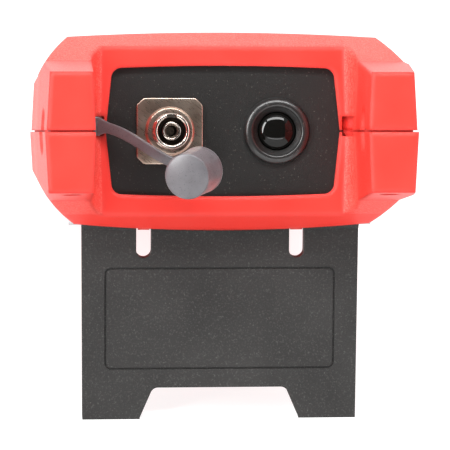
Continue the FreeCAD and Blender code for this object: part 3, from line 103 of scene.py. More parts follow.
class Shader:
    """A node tree with one principled shader, and short ways to add to it."""

    def __init__(self, name, colour, roughness, **settings):
        self.material = bpy.data.materials.new(name)
        self.material.use_nodes = True
        self.tree = self.material.node_tree
        self.surface = self.tree.nodes["Principled BSDF"]
        self.set(self.surface, {"Base Color": (*colour, 1.0), "Roughness": roughness, **settings})
        self.place = None

    def set(self, node, values):
        """Fills a node's unlinked inputs, by name or by number."""
        for key, value in values.items():
            node.inputs[key].default_value = value

    def node(self, kind, values=None, **options):
        """Adds a node with these inputs and properties."""
        made = self.tree.nodes.new(kind)
        for key, value in options.items():
            setattr(made, key, value)
        self.set(made, values or {})
        return made

    def link(self, source, target):
        self.tree.links.new(source, target)

    def position(self):
        """Place on the object in the instrument's own frame, in metres."""
        if self.place is None:
            where = self.node("ShaderNodeTexCoord")
            shift = self.node("ShaderNodeVectorMath", {1: ORIGIN}, operation="SUBTRACT")
            turn = self.node("ShaderNodeVectorRotate", {"Angle": TILT}, rotation_type="X_AXIS")
            self.link(where.outputs["Object"], shift.inputs[0])
            self.link(shift.outputs[0], turn.inputs["Vector"])
            self.place = turn.outputs["Vector"]
        return self.place

    def noise(self, size, detail=2.0, roughness=0.5):
        """Noise whose features are about size metres across."""
        made = self.node("ShaderNodeTexNoise", {
            "Scale": 1.0 / size, "Detail": detail, "Roughness": roughness})
        self.link(self.position(), made.inputs["Vector"])
        return made.outputs["Fac"]

    def math(self, operation, a, b=0.0, clamp=False):
        """Result of a sum on two numbers or outputs."""
        made = self.node("ShaderNodeMath", operation=operation, use_clamp=clamp)
        for slot, value in ((0, a), (1, b)):
            if isinstance(value, (int, float)):
                made.inputs[slot].default_value = value
            else:
                self.link(value, made.inputs[slot])
        return made.outputs[0]

    def ramp(self, source, low, high, to_low=0.0, to_high=1.0):
        """Maps low to high of an output onto another range."""
        made = self.node("ShaderNodeMapRange", {
            "From Min": low, "From Max": high, "To Min": to_low, "To Max": to_high})
        self.link(source, made.inputs["Value"])
        return made.outputs[0]

    def colours(self, factor, dark, light):
        """Base colour between two colours."""
        made = self.node("ShaderNodeMix", {
            MIX_FIRST: (*dark, 1.0), MIX_SECOND: (*light, 1.0)}, data_type="RGBA")
        self.link(factor, made.inputs[0])
        self.link(made.outputs[MIX_RESULT], self.surface.inputs["Base Color"])

    def roughness(self, factor, low, high):
        """Roughness from low to high over the middle of a noise."""
        self.link(self.ramp(factor, 0.3, 0.7, low, high), self.surface.inputs["Roughness"])

    def soft_edges(self, radius):
        """Rounds the look of sharp edges by radius metres."""
        made = self.node("ShaderNodeBevel", {"Radius": radius}, samples=6)
        self.link(made.outputs["Normal"], self.surface.inputs["Normal"])

    def bump(self, height, depth):
        """Relief of height (0 to 1) times depth in metres."""
        made = self.node("ShaderNodeBump", {"Distance": depth})
        self.link(height, made.inputs["Height"])
        before = self.surface.inputs["Normal"].links
        if before:
            self.link(before[0].from_socket, made.inputs["Normal"])
        self.link(made.outputs["Normal"], self.surface.inputs["Normal"])


# Where the grain of the red housing lies, in the instrument's own millimetres.
GRAIN_START = 19.9            # Y where the horns end and the grain begins
GRAIN_FADE = 0.4
CHIN_TOP = -18.3              # the lip under the bay is smooth below this Z
CHIN_FADE = 0.3
CHIN_END = 36.0               # and up to this Y
CHIN_END_FADE = 2.0


def red_plastic():
    """Moulded red plastic: spark-eroded grain with painted highlights on the body and the bay's
    flares, smooth horns.
    """
    made = Shader("red_plastic", (0.78, 0.045, 0.03), 0.42)
    split = made.node("ShaderNodeSeparateXYZ")
    made.link(made.position(), split.inputs[0])
    behind = made.ramp(split.outputs["Y"], GRAIN_START * MM, (GRAIN_START + GRAIN_FADE) * MM)
    grain = made.noise(0.3 * MM, 2.0, 0.5)
    cloud = made.noise(9 * MM, 2.0)
    where = made.node("ShaderNodeTexCoord")
    facing = made.node("ShaderNodeVectorMath", {1: PORT_WAY}, operation="DOT_PRODUCT")
    made.link(where.outputs["Normal"], facing.inputs[0])
    aside = made.ramp(facing.outputs["Value"], 0.8, 0.985, 1.0, 0.0)
    grained = made.math("MULTIPLY", behind, aside)
    above = made.ramp(split.outputs["Z"], (CHIN_TOP - CHIN_FADE) * MM, CHIN_TOP * MM)
    past = made.ramp(split.outputs["Y"], CHIN_END * MM, (CHIN_END + CHIN_END_FADE) * MM)
    grained = made.math("MULTIPLY", grained, made.math("MAXIMUM", above, past))
    # Painted highlight: the tops of the grain are painted paler. The grain's relief and its random
    # cloudy tone are real.
    pale = made.math("MULTIPLY", made.ramp(grain, 0.42, 0.72), grained)
    shade = made.math("ADD", made.math("MULTIPLY", cloud, 0.12),
                      made.math("MULTIPLY", pale, 0.52), clamp=True)
    made.colours(shade, (0.72, 0.02, 0.011), (0.95, 0.2, 0.16))
    made.roughness(grain, 0.38, 0.5)
    made.soft_edges(1.8 * MM)
    height = made.math("MULTIPLY", grain, made.math("MAXIMUM", grained, 0.1))
    made.bump(height, 0.12 * MM)
    return made.material


def leathered(name, dark, light, roughness):
    """Black plastic with a dense pebbled grain whose tops are painted paler as a highlight."""
    made = Shader(name, dark, roughness, **{"Specular IOR Level": 0.4})
    pebble = made.noise(0.42 * MM, 2.0, 0.6)
    fine = made.noise(0.2 * MM, 1.0)
    cloud = made.noise(14 * MM, 2.0)
    # Painted highlight: the tops of the pebbles are painted paler. The cloud is a real tone that
    # differs at random.
    tops = made.math("MULTIPLY", made.ramp(pebble, 0.52, 0.74), made.ramp(fine, 0.4, 0.65))
    shade = made.math("ADD", tops, made.ramp(cloud, 0.3, 0.7, 0.0, 0.12), clamp=True)
    made.colours(shade, dark, light)
    made.roughness(fine, roughness - 0.08, roughness + 0.1)
    made.soft_edges(0.2 * MM)
    made.bump(pebble, 0.1 * MM)
    return made.material


def speckled(name, dark, light, roughness, grain_size=0.3 * MM, depth=0.06 * MM,
             sparkle=0.66, gloss=0.3, coat=0.0):
    """Black plastic with a fine grain, a few paler specks and, if asked, a thin gloss coat."""
    made = Shader(name, dark, roughness, **{
        "Specular IOR Level": gloss, "Coat Weight": coat, "Coat Roughness": 0.22})
    grain = made.noise(grain_size, 3.0, 0.6)
    specks = made.noise(grain_size * 1.4, 1.0)
    made.colours(made.ramp(specks, sparkle, sparkle + 0.08), dark, light)
    made.roughness(grain, roughness - 0.07, roughness + 0.08)
    made.soft_edges(0.2 * MM)
    made.bump(grain, depth)
    return made.material


BRUSH_ANGLE = math.radians(-38)
BRUSH_STRETCH = (0.12, 1.0, 1.0)      # squeezes the noise along the marks
BRUSH_WIDTH = 0.22 * MM


def plated_metal():
    """Warm nickel plate, clouded, with fine slanting brush marks."""
    made = Shader("plated_metal", (0.6, 0.5, 0.43), 0.26, Metallic=1.0)
    turned = made.node("ShaderNodeVectorRotate", {"Angle": BRUSH_ANGLE}, rotation_type="Y_AXIS")
    scaled = made.node("ShaderNodeVectorMath", {1: BRUSH_STRETCH}, operation="MULTIPLY")
    brush = made.node("ShaderNodeTexNoise", {"Scale": 1 / BRUSH_WIDTH, "Detail": 2.0})
    made.link(made.position(), turned.inputs["Vector"])
    made.link(turned.outputs["Vector"], scaled.inputs[0])
    made.link(scaled.outputs[0], brush.inputs["Vector"])
    cloud = made.noise(5 * MM, 2.0)
    made.colours(made.ramp(cloud, 0.35, 0.7), (0.42, 0.31, 0.245), (0.66, 0.53, 0.44))
    made.roughness(brush.outputs["Fac"], 0.26, 0.32)
    made.bump(brush.outputs["Fac"], 0.0006 * MM)
    return made.material


def turned_metal():
    """Bright nickel of the turned parts, with faint fine marks."""
    made = Shader("turned_metal", (0.68, 0.58, 0.5), 0.14, Metallic=1.0)
    marks = made.noise(0.25 * MM, 2.0)
    made.colours(made.ramp(marks, 0.3, 0.7), (0.6, 0.5, 0.43), (0.76, 0.67, 0.6))
    made.roughness(marks, 0.1, 0.2)
    return made.material


def steel():
    """Plain bright steel, slightly worn."""
    made = Shader("steel", (0.56, 0.56, 0.57), 0.3, Metallic=1.0)
    wear = made.noise(0.8 * MM, 3.0)
    made.roughness(wear, 0.24, 0.4)
    made.bump(wear, 0.008 * MM)
    return made.material


def silicone():
    """Grey translucent silicone rubber with a faint bloom."""
    made = Shader("silicone", (0.11, 0.105, 0.11), 0.36, **{
        "Subsurface Weight": 0.35, "Subsurface Radius": (1.0, 0.85, 0.85),
        "Subsurface Scale": 1.0 * MM,
        "Specular IOR Level": 0.6, "Sheen Weight": 0.6, "Sheen Roughness": 0.25})
    cloud = made.noise(2.5 * MM, 2.0)
    dust = made.noise(0.25 * MM, 2.0)
    made.colours(made.ramp(cloud, 0.3, 0.7), (0.088, 0.083, 0.09), (0.112, 0.108, 0.118))
    made.roughness(dust, 0.26, 0.38)
    made.bump(dust, 0.008 * MM)
    return made.material


def plain(name, colour, roughness, variation=0.1, grain_size=0.5 * MM, depth=0.02 * MM,
          **settings):
    """Plain moulded or coated surface with slight mottling and relief."""
    made = Shader(name, colour, roughness, **settings)
    cloud = made.noise(grain_size * 12, 2.0)
    grain = made.noise(grain_size, 2.0)
    dark = tuple(c * (1 - variation) for c in colour)
    light = tuple(min(1.0, c * (1 + variation)) for c in colour)
    made.colours(made.ramp(cloud, 0.3, 0.7), dark, light)
    made.roughness(grain, max(0.02, roughness - 0.05), roughness + 0.05)
    made.bump(grain, depth)
    return made.material


def coated_glass(name, colour, roughness, ior):
    """Dark glass with a coating that lets it mirror little."""
    made = Shader(name, colour, roughness, IOR=ior)
    haze = made.noise(14 * MM, 2.0)
    made.colours(made.ramp(haze, 0.3, 0.7), tuple(c * 0.8 for c in colour), colour)
    made.roughness(haze, roughness, roughness + 0.03)
    return made.material


RED = red_plastic()
PANEL_BLACK = speckled("panel_black", (0.008, 0.0075, 0.007), (0.06, 0.055, 0.048), 0.45,
                       sparkle=0.69, gloss=0.4)
RING_BLACK = speckled("ring_black", (0.01, 0.0098, 0.0095), (0.06, 0.056, 0.05), 0.34,
                      depth=0.012 * MM, sparkle=0.69, gloss=0.5, coat=0.35)
STAND_BLACK = leathered("stand_black", (0.013, 0.0125, 0.012), (0.08, 0.078, 0.075), 0.55)
BEZEL_BLACK = speckled("bezel_black", (0.022, 0.022, 0.023), (0.05, 0.05, 0.05), 0.45,
                       0.4 * MM)
NICKEL = plated_metal()
BRIGHT_NICKEL = turned_metal()
STEEL = steel()
SILICONE = silicone()
SEAL_RED = plain("seal_red", (0.5, 0.02, 0.015), 0.6)
# Darker copy of the nickel for the inside of the port's bore: painted shade.
SOCKET_PAINTED_SHADE = plain("socket_painted_shade", (0.13, 0.1, 0.08), 0.45, Metallic=1.0)
SLEEVE_METAL = plain("sleeve_metal", (0.3, 0.25, 0.21), 0.3, Metallic=1.0)
LENS_BLACK = coated_glass("lens_black", (0.004, 0.004, 0.0035), 0.04, 1.36)
LED_CLEAR = plain("led_clear", (0.75, 0.7, 0.35), 0.2, 0.05)
GLASS_BLACK = coated_glass("display_black", (0.012, 0.013, 0.016), 0.09, 1.22)
DISPLAY_DARK = plain("display_dark", (0.02, 0.022, 0.03), 0.3)
BOARD_GREEN = plain("board_green", (0.02, 0.16, 0.06), 0.4)
RUBBER = plain("rubber_black", (0.022, 0.022, 0.022), 0.72, 0.15, 0.35 * MM, 0.05 * MM)
KEY_GREY = plain("key_grey", (0.055, 0.056, 0.06), 0.6, 0.1, 0.3 * MM, 0.03 * MM)
KEY_RED = plain("key_red", (0.55, 0.035, 0.025), 0.55, 0.1, 0.3 * MM, 0.03 * MM)
PRINT_WHITE = plain("print_white", (0.72, 0.72, 0.7), 0.5, 0.03)
PLASTIC_BLACK = plain("plastic_black", (0.03, 0.03, 0.03), 0.45)
WRAP_BLUE = plain("wrap_blue", (0.02, 0.06, 0.2), 0.3)
MODULE_GREY = plain("module_grey", (0.5, 0.51, 0.53), 0.4, Metallic=1.0)
FIBRE_YELLOW = plain("fibre_yellow", (0.8, 0.6, 0.05), 0.4)

KEY_NAMES = [name for name in NODES if name.startswith("key_") and name != "key_mat"]

SURFACES = {
    "front_housing": RED, "rear_housing": RED, "battery_cover": RED, "case_seal": SEAL_RED,
    "end_panel": PANEL_BLACK, "fc_flange": NICKEL, "fc_barrel": NICKEL, "fc_nut": NICKEL,
    "fc_sleeve": SLEEVE_METAL, "fc_ferrule": SLEEVE_METAL, "lamp_lens": LENS_BLACK,
    "lamp_led": LED_CLEAR, "lamp_board": BOARD_GREEN, "dust_cap": SILICONE,
    "cap_strap": SILICONE, "strap_anchor": SILICONE, "face_bezel": BEZEL_BLACK,
    "display_window": GLASS_BLACK, "display_module": DISPLAY_DARK,
    "keypad_board": BOARD_GREEN, "key_mat": RUBBER, "switch_domes": STEEL,
    "stand_plate": STAND_BLACK, "stand_pins": STEEL, "case_screws": STEEL,
    "cover_screws": STEEL, "battery_pack": WRAP_BLUE, "battery_contacts": PLASTIC_BLACK,
    "rear_feet": RUBBER, "main_board": BOARD_GREEN, "shield_cans": STEEL,
    "optical_module": MODULE_GREY, "pigtail_fibre": FIBRE_YELLOW, "buzzer": PLASTIC_BLACK,
    "usb_socket": STEEL, "power_jack": PLASTIC_BLACK, "port_flap": RUBBER,
}
SURFACES.update({name: KEY_RED if name == "key_enter" else KEY_GREY for name in KEY_NAMES})


def dress_nodes():
    """Gives every CAD node its material."""
    for name, node in NODES.items():
        surface = SURFACES[name]
        for slot in node.material_slots:
            slot.material = surface
        if not node.material_slots:
            node.data.materials.append(surface)


dress_nodes()


# ---- Pieces made here ----------------------------------------------------------------------

MERGE_DISTANCE = 0.001 * MM
Y_AXIS, Z_AXIS = Vector((0, 1, 0)), Vector((0, 0, 1))     # of the instrument


def add_piece(name, points, faces, material, crease=40.0):
    """Mesh piece from points of the row frame; edges sharper than crease degrees stay crisp."""
    mesh = bpy.data.meshes.new(name)
    mesh.from_pydata([tuple(p) for p in points], [], faces)
    shape = bmesh.new()
    shape.from_mesh(mesh)
    bmesh.ops.remove_doubles(shape, verts=shape.verts, dist=MERGE_DISTANCE)
    bmesh.ops.recalc_face_normals(shape, faces=shape.faces)
    for face in shape.faces:
        face.smooth = True
    for edge in shape.edges:
        edge.smooth = edge.calc_face_angle(0.0) < math.radians(crease)
    shape.to_mesh(mesh)
    shape.free()
    mesh.materials.append(material)
    piece = bpy.data.objects.new(name, mesh)
    bpy.context.collection.objects.link(piece)
    return piece


def ring_faces(first, second, count):
    """Quads between two closed rings of count points that start at these indices."""
    return [(first + i, first + (i + 1) % count, second + (i + 1) % count, second + i)
            for i in range(count)]


# All measures below are in the instrument's own millimetres.
CAP_RIM = (-5.8, 16.8, -8.5)          # centre of the cap's open rim
CAP_WAY = (-3.7, -8.7, -1.38)         # from the rim to the closed end
CAP_RADIUS = 5.1

STRAP_POINTS = ((-27.8, 24.9, 1.0), (-21.5, 21.5, 0.6), (-15.8, 17.2, -6.1))
STRAP_RISE = 1.265                    # from the rim to where the strap meets the cap
STRAP_WIDTH = 2.3
STRAP_THICKNESS = 1.0
STRAP_EDGE = 0.3                      # rounding of its edges
STRAP_FLARE = 1.9                     # how much wider its root is
STRAP_FLARE_LENGTH = 3.0
STRAP_TURN_X, STRAP_TURN_Z = -0.3, -0.4       # how far its face turns by the cap
STRAP_STEPS = 48
ROOT_X = (-28.9, -28.4, -27.9)        # sections of the root inside the pocket
ROOT_SHIFT = (0.25, 0.1)              # of the root in Y and Z from the strap's start
ROOT_FACE = (0.3, -1, 0)


def strap_line():
    """Points, directions and face directions along the strap's middle line."""
    way = Vector(CAP_WAY).normalized()
    rim = Vector(CAP_RIM) + way * STRAP_RISE
    a, b, c = (Vector(p) for p in STRAP_POINTS)
    toward = c - rim
    toward = (toward - way * toward.dot(way)).normalized()
    d = rim + toward * (CAP_RADIUS - STRAP_THICKNESS / 2)
    line = []
    for i in range(STRAP_STEPS + 1):
        t = i / STRAP_STEPS
        u = 1 - t
        here = a * u ** 3 + b * 3 * u * u * t + c * 3 * u * t * t + d * t ** 3
        along = ((b - a) * u * u + (c - b) * 2 * u * t + (d - c) * t * t).normalized()
        face = Vector((STRAP_TURN_X * t, -1, STRAP_TURN_Z * t))
        line.append((here, along, (face - along * face.dot(along)).normalized()))
    return line


def ribbon_ring(here, wide, face, half_width):
    """Closed ring of a flat section with rounded edges, four points on each."""
    ring = []
    for corner in range(4):
        side_w = 1 if corner in (0, 3) else -1
        side_t = 1 if corner in (0, 1) else -1
        for step in range(4):
            angle = math.radians(90 * corner + 30 * step)
            w = side_w * (half_width - STRAP_EDGE) + STRAP_EDGE * math.cos(angle)
            t = side_t * (STRAP_THICKNESS / 2 - STRAP_EDGE) + STRAP_EDGE * math.sin(angle)
            ring.append(own(*(here + wide * w + face * t)))
    return ring


def make_strap():
    """Silicone strap, flared where the horn's pocket holds it and running into the cap."""
    line = strap_line()
    start = line[0][0]
    rings = []
    for x in ROOT_X:
        here = Vector((x, start.y + ROOT_SHIFT[0], start.z + ROOT_SHIFT[1]))
        rings.append(ribbon_ring(here, Z_AXIS, Vector(ROOT_FACE).normalized(),
                                 (STRAP_WIDTH + STRAP_FLARE) / 2))
    gone = 0.0
    last = start
    for here, along, face in line:
        gone += (here - last).length
        last = here
        flare = STRAP_FLARE * max(0.0, 1 - gone / STRAP_FLARE_LENGTH) ** 2
        wide = face.cross(along)
        rings.append(ribbon_ring(here, wide, face, (STRAP_WIDTH + flare) / 2))
    count = len(rings[0])
    points = [p for ring in rings for p in ring]
    faces = [f for i in range(len(rings) - 1)
             for f in ring_faces(i * count, (i + 1) * count, count)]
    faces += [tuple(range(count))[::-1], tuple(range(len(points) - count, len(points)))]
    strap = add_piece("cap_tether", points, faces, SILICONE, 50.0)
    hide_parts("cap_strap", "strap_anchor")
    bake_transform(strap)


BARREL_X = -12.0
BARREL_LIP = 18.2                     # Y of its front
BARREL_BACK = 34.4
THREAD_START, THREAD_END = 18.75, 24.4
THREAD_PITCH = 0.75
THREAD_DEPTH = 0.42
THREAD_FADE_IN, THREAD_FADE_OUT = 0.5, 0.3
ROOT_HALF, FLANK = 0.08, 0.34         # of the thread's form, as shares of its pitch
THREAD_ROWS = 10                      # rows of points for each turn
CREST = 4.0                           # radii
NECK = 3.8
BORE = 3.05
HOLDER = 2.05
HOLDER_BORE = 1.6
HOLDER_FRONT = 19.1
HOLDER_ROUND = ((0.2, 0.0), (0.06, 0.06), (0.0, 0.2))     # back and inset of its front edge
SOCKET_FLOOR = 23.8
LIP_EDGE = 0.46                       # rounding of the lip
LIP_ROWS = (0, 0.015, 0.05, 0.11, 0.19, 0.3, LIP_EDGE)
KEYWAY_HALF = 1.1
KEYWAY_END = 21.2
ROUND_STEPS = 132
KEYWAY_STEPS = 12
SKIN = 0.02                           # slack when faces are told apart by radius


def barrel_angles(radius):
    """Angles from the keyway's right edge round to its left edge, then back across it."""
    half = math.asin(KEYWAY_HALF / radius)
    wide = [half + (2 * math.pi - 2 * half) * i / ROUND_STEPS for i in range(ROUND_STEPS + 1)]
    across = [-half + 2 * half * i / KEYWAY_STEPS for i in range(1, KEYWAY_STEPS)]
    return wide + across


def thread_radius(y, angle):
    """Radius of the threaded nose at y, for an angle clockwise from its top."""
    fade = min(1.0, max(0.0, (y - THREAD_START) / THREAD_FADE_IN),
               max(0.0, (THREAD_END - y) / THREAD_FADE_OUT))
    turn = (y / THREAD_PITCH - angle / (2 * math.pi)) % 1.0
    height = min(1.0, max(0.0, (abs(turn - 0.5) - ROOT_HALF) / FLANK))
    return CREST - THREAD_DEPTH * fade * (1 - height)


def make_barrel():
    """Threaded nose of the fibre port with its keyway, socket and sleeve holder."""
    keyed = [BARREL_LIP + d for d in LIP_ROWS]
    lip_end = keyed[-1]
    step = THREAD_PITCH / THREAD_ROWS
    rows = int(round((KEYWAY_END - lip_end) / step))
    keyed += [lip_end + (KEYWAY_END - lip_end) * i / rows for i in range(1, rows + 1)]
    rows = int(round((THREAD_END - KEYWAY_END) / step))
    behind = [KEYWAY_END + (THREAD_END - KEYWAY_END) * i / rows for i in range(1, rows + 1)]
    count = ROUND_STEPS + KEYWAY_STEPS
    points = []

    def ring(y, radius):
        first = len(points)
        mean = radius if isinstance(radius, float) else CREST
        for angle in barrel_angles(mean):
            r = radius if isinstance(radius, float) else radius(y, angle)
            points.append(own(BARREL_X + r * math.sin(angle), y, r * math.cos(angle)))
        return first

    def rounding(y, size):
        gone = min(size, y - BARREL_LIP)
        return size - math.sqrt(size * size - (size - gone) ** 2)

    def outer(y):
        return CREST - rounding(y, LIP_EDGE) if y <= lip_end else thread_radius

    def inner(y):
        return BORE + rounding(y, LIP_EDGE)

    outside = [ring(y, outer(y)) for y in keyed]
    inside = [ring(y, inner(y)) for y in keyed]
    faces = []

    def band(first, second, whole):
        kept = ring_faces(first, second, count)
        faces.extend(kept if whole else kept[:ROUND_STEPS])

    band(inside[0], outside[0], False)
    for i in range(len(keyed) - 1):
        band(outside[i], outside[i + 1], False)
        band(inside[i], inside[i + 1], False)
        for edge in (0, ROUND_STEPS):
            sides = (inside[i], outside[i], outside[i + 1], inside[i + 1])
            faces.append(tuple(side + edge for side in sides))
    faces.extend(ring_faces(inside[-1], outside[-1], count)[ROUND_STEPS:])
    chain = [outside[-1]] + [ring(y, outer(y)) for y in behind]
    chain += [ring(THREAD_END, NECK), ring(BARREL_BACK, NECK), ring(BARREL_BACK, HOLDER_BORE)]
    chain += [ring(HOLDER_FRONT + back, HOLDER_BORE + inset) for back, inset in HOLDER_ROUND]
    chain += [ring(HOLDER_FRONT + back, HOLDER - inset) for back, inset in HOLDER_ROUND[::-1]]
    chain += [ring(SOCKET_FLOOR, HOLDER), ring(SOCKET_FLOOR, BORE), inside[-1]]
    for first, second in zip(chain, chain[1:]):
        band(first, second, True)
    barrel = add_piece("threaded_port", points, faces, BRIGHT_NICKEL, 32.0)
    # Faces deep in the socket and in the holder's bore take the darker metal: painted shade inside
    # the bore.
    barrel.data.materials.append(SOCKET_PAINTED_SHADE)
    for face in barrel.data.polygons:
        place = OWN.inverted() @ face.center / MM
        radius = math.hypot(place.x - BARREL_X, place.z)
        deep = place.y > lip_end and HOLDER < radius + SKIN and radius < BORE + SKIN
        face.material_index = 1 if deep or radius < HOLDER_BORE + SKIN else 0
    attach(barrel, "case")
    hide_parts("fc_barrel")


# Profiles of round pieces: place along the axis, then radius.
LATHE_STEPS = 96
CAP_PROFILE = ((0.0, 4.05), (0.0, 4.95), (0.06, 5.12), (0.2, 5.2), (0.5, 5.2), (0.75, 5.12),
               (1.2, 5.07), (9.0, 5.02), (9.2, 4.99), (9.3, 4.92), (9.37, 4.8), (9.42, 4.6),
               (9.57, 3.6), (9.7, 2.4), (9.78, 1.2), (9.8, 0.0))
CAP_HOLLOW = ((0.15, 3.9), (7.4, 3.9), (7.8, 3.5), (7.8, 0.0))

LAMP_X = 12.1
RING_PROFILE = ((28.2, 4.36), (27.0, 4.36), (26.93, 4.4), (26.36, 5.36), (26.18, 5.46),
                (26.03, 5.53), (25.92, 5.66), (25.86, 5.82), (25.84, 6.0), (25.86, 6.25),
                (25.93, 6.55), (26.05, 6.85), (26.22, 7.08), (26.45, 7.23), (26.8, 7.35),
                (27.2, 7.47), (27.42, 7.58), (27.5, 7.58), (27.5, 5.8))
LENS_EDGE_Y = 27.8
LENS_RADIUS = 4.3
LENS_HEIGHT = 2.0
LENS_SEAT = ((29.0, 4.3), (29.0, 3.7), (29.7, 3.7), (29.7, 0.0))


def lathe(name, profile, origin, way, material, crease):
    """Closed round piece; a profile that doesn't start on the axis makes a ring."""
    across = way.cross(Z_AXIS).normalized()
    upward = across.cross(way)
    points, rings = [], []
    for along, radius in profile:
        rings.append(len(points))
        for i in range(LATHE_STEPS if radius else 1):
            angle = 2 * math.pi * i / LATHE_STEPS
            out = across * math.cos(angle) + upward * math.sin(angle)
            points.append(own(*(origin + way * along + out * radius)))
    solid = not profile[0][1]
    pairs = zip(rings[1:-2], rings[2:-1]) if solid else zip(rings, rings[1:] + rings[:1])
    ends = ((rings[0], rings[1]), (rings[-1], rings[-2])) if solid else ()
    faces = [face for first, second in pairs for face in ring_faces(first, second, LATHE_STEPS)]
    for middle, ring in ends:
        faces += [(middle, ring + i, ring + (i + 1) % LATHE_STEPS) for i in range(LATHE_STEPS)]
    return add_piece(name, points, faces, material, crease)


def make_cap():
    """Silicone cap with a rolled rim, soft edges and a slightly crowned end."""
    cap = lathe("port_cap", CAP_HOLLOW[::-1] + CAP_PROFILE, Vector(CAP_RIM),
                Vector(CAP_WAY).normalized(), SILICONE, 60.0)
    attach(cap, "cap")
    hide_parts("dust_cap")


def make_ring():
    """Softly rounded ring of the lamp with its open funnel, over the ring of the panel."""
    ring = lathe("lamp_ring", RING_PROFILE, Vector((LAMP_X, 0, 0)), Y_AXIS,
                 RING_BLACK, 60.0)
    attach(ring, "case")


def make_lens():
    """Domed lens of the lamp, steeper towards its edge."""
    angles = [math.radians(a) for a in range(0, 91, 3)]
    dome = tuple((LENS_EDGE_Y - LENS_HEIGHT * math.cos(a), LENS_RADIUS * math.sin(a))
                 for a in angles)
    lens = lathe("lamp_dome", dome + LENS_SEAT, Vector((LAMP_X, 0, 0)), Y_AXIS,
                 LENS_BLACK, 50.0)
    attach(lens, "case")
    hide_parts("lamp_lens")


FLANGE_HALF = 7.4
FLANGE_CUT = 1.6                      # of each corner, along the sides
FLANGE_CUT_INSET = 0.6                # share of an inset that the cut shrinks by
FLANGE_ROUND = 0.55                   # where a side meets a cut corner
FLANGE_ROUND_STEPS = 5
FLANGE_FRONT = 26.2
PANEL_FACE = 27.4
FLANGE_EDGES = ((0.0, 0.22), (0.03, 0.1), (0.1, 0.03), (0.22, 0.0))     # back and inset
SHOULDER_PROFILE = ((26.2, 5.5), (26.0, 5.28), (25.9, 5.2), (25.1, 5.2), (24.96, 5.17),
                    (24.86, 5.1), (24.8, 4.95), (24.8, 3.82), (27.4, 3.82))


def flange_outline(inset):
    """Square with cut and rounded corners, from the middle of its right side."""
    half, cut = FLANGE_HALF - inset, FLANGE_CUT - inset * FLANGE_CUT_INSET
    corners = [(half, half - cut), (half - cut, half), (cut - half, half), (-half, half - cut),
               (-half, cut - half), (cut - half, -half), (half - cut, -half), (half, cut - half)]
    outline = []
    for i, here in enumerate(corners):
        before, after = Vector(corners[i - 1]), Vector(corners[(i + 1) % 8])
        here = Vector(here)
        start = here + (before - here).normalized() * FLANGE_ROUND
        stop = here + (after - here).normalized() * FLANGE_ROUND
        for step in range(FLANGE_ROUND_STEPS + 1):
            t = step / FLANGE_ROUND_STEPS
            outline.append(start * (1 - t) ** 2 + here * 2 * t * (1 - t) + stop * t * t)
    return outline


def reach(outline, angle):
    """Point where the way at this angle leaves a closed outline round the middle."""
    way = Vector((math.cos(angle), math.sin(angle)))
    for i, start in enumerate(outline):
        stop = outline[(i + 1) % len(outline)]
        side = stop - start
        facing = way.x * side.y - way.y * side.x
        if abs(facing) > 1e-9:
            along = (way.x * -start.y + way.y * start.x) / facing
            here = start + side * along
            if 0.0 <= along <= 1.0 and here.dot(way) > 0:
                return here
    return outline[0]


def make_flange():
    """Square plate of the fibre port with softly broken edges, and its round shoulder."""
    points, faces, rings = [], [], []
    angles = {round(math.atan2(z, x), 5) for x, z in flange_outline(0)}
    angles |= {round(math.radians(a), 5) for a in range(-177, 181, 4)}
    angles = sorted(angles)
    count = len(angles)

    def ring(y, places):
        rings.append(len(points))
        points.extend(own(BARREL_X + x, y, z) for x, z in places)

    for back, inset in ((PANEL_FACE - FLANGE_FRONT, 0.0),) + FLANGE_EDGES[::-1]:
        outline = flange_outline(inset)
        ring(FLANGE_FRONT + back, [reach(outline, a) for a in angles])
    for y, radius in SHOULDER_PROFILE:
        ring(y, [(radius * math.cos(a), radius * math.sin(a)) for a in angles])
    for first, second in zip(rings, rings[1:] + rings[:1]):
        faces += ring_faces(first, second, count)
    plate = add_piece("port_flange", points, faces, NICKEL, 35.0)
    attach(plate, "case")
    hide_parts("fc_flange")


# ---- Marks on the keys ---------------------------------------------------------------------

def arc(radius, start, stop, steps):
    """Points on an arc, its angles in degrees clockwise from the port end."""
    angles = [math.radians(start + (stop - start) * i / steps) for i in range(steps + 1)]
    return [(radius * math.sin(a), -radius * math.cos(a)) for a in angles]


def stroke(line, width):
    """Quads of a line of even width."""
    quads = []
    for (x0, y0), (x1, y1) in zip(line, line[1:]):
        length = math.hypot(x1 - x0, y1 - y0)
        nx, ny = -(y1 - y0) / length * width / 2, (x1 - x0) / length * width / 2
        quads.append([(x0 + nx, y0 + ny), (x1 + nx, y1 + ny),
                      (x1 - nx, y1 - ny), (x0 - nx, y0 - ny)])
    return quads


def pointer(way_x, way_y, size=1.9, middle=(0.0, 0.0)):
    """Triangle that points along (way_x, way_y)."""
    back = size * 0.6
    corners = ((way_x * size, way_y * size),
               (-way_x * back - way_y * size, -way_y * back + way_x * size),
               (-way_x * back + way_y * size, -way_y * back - way_x * size))
    return [[(x + middle[0], y + middle[1]) for x, y in corners]]


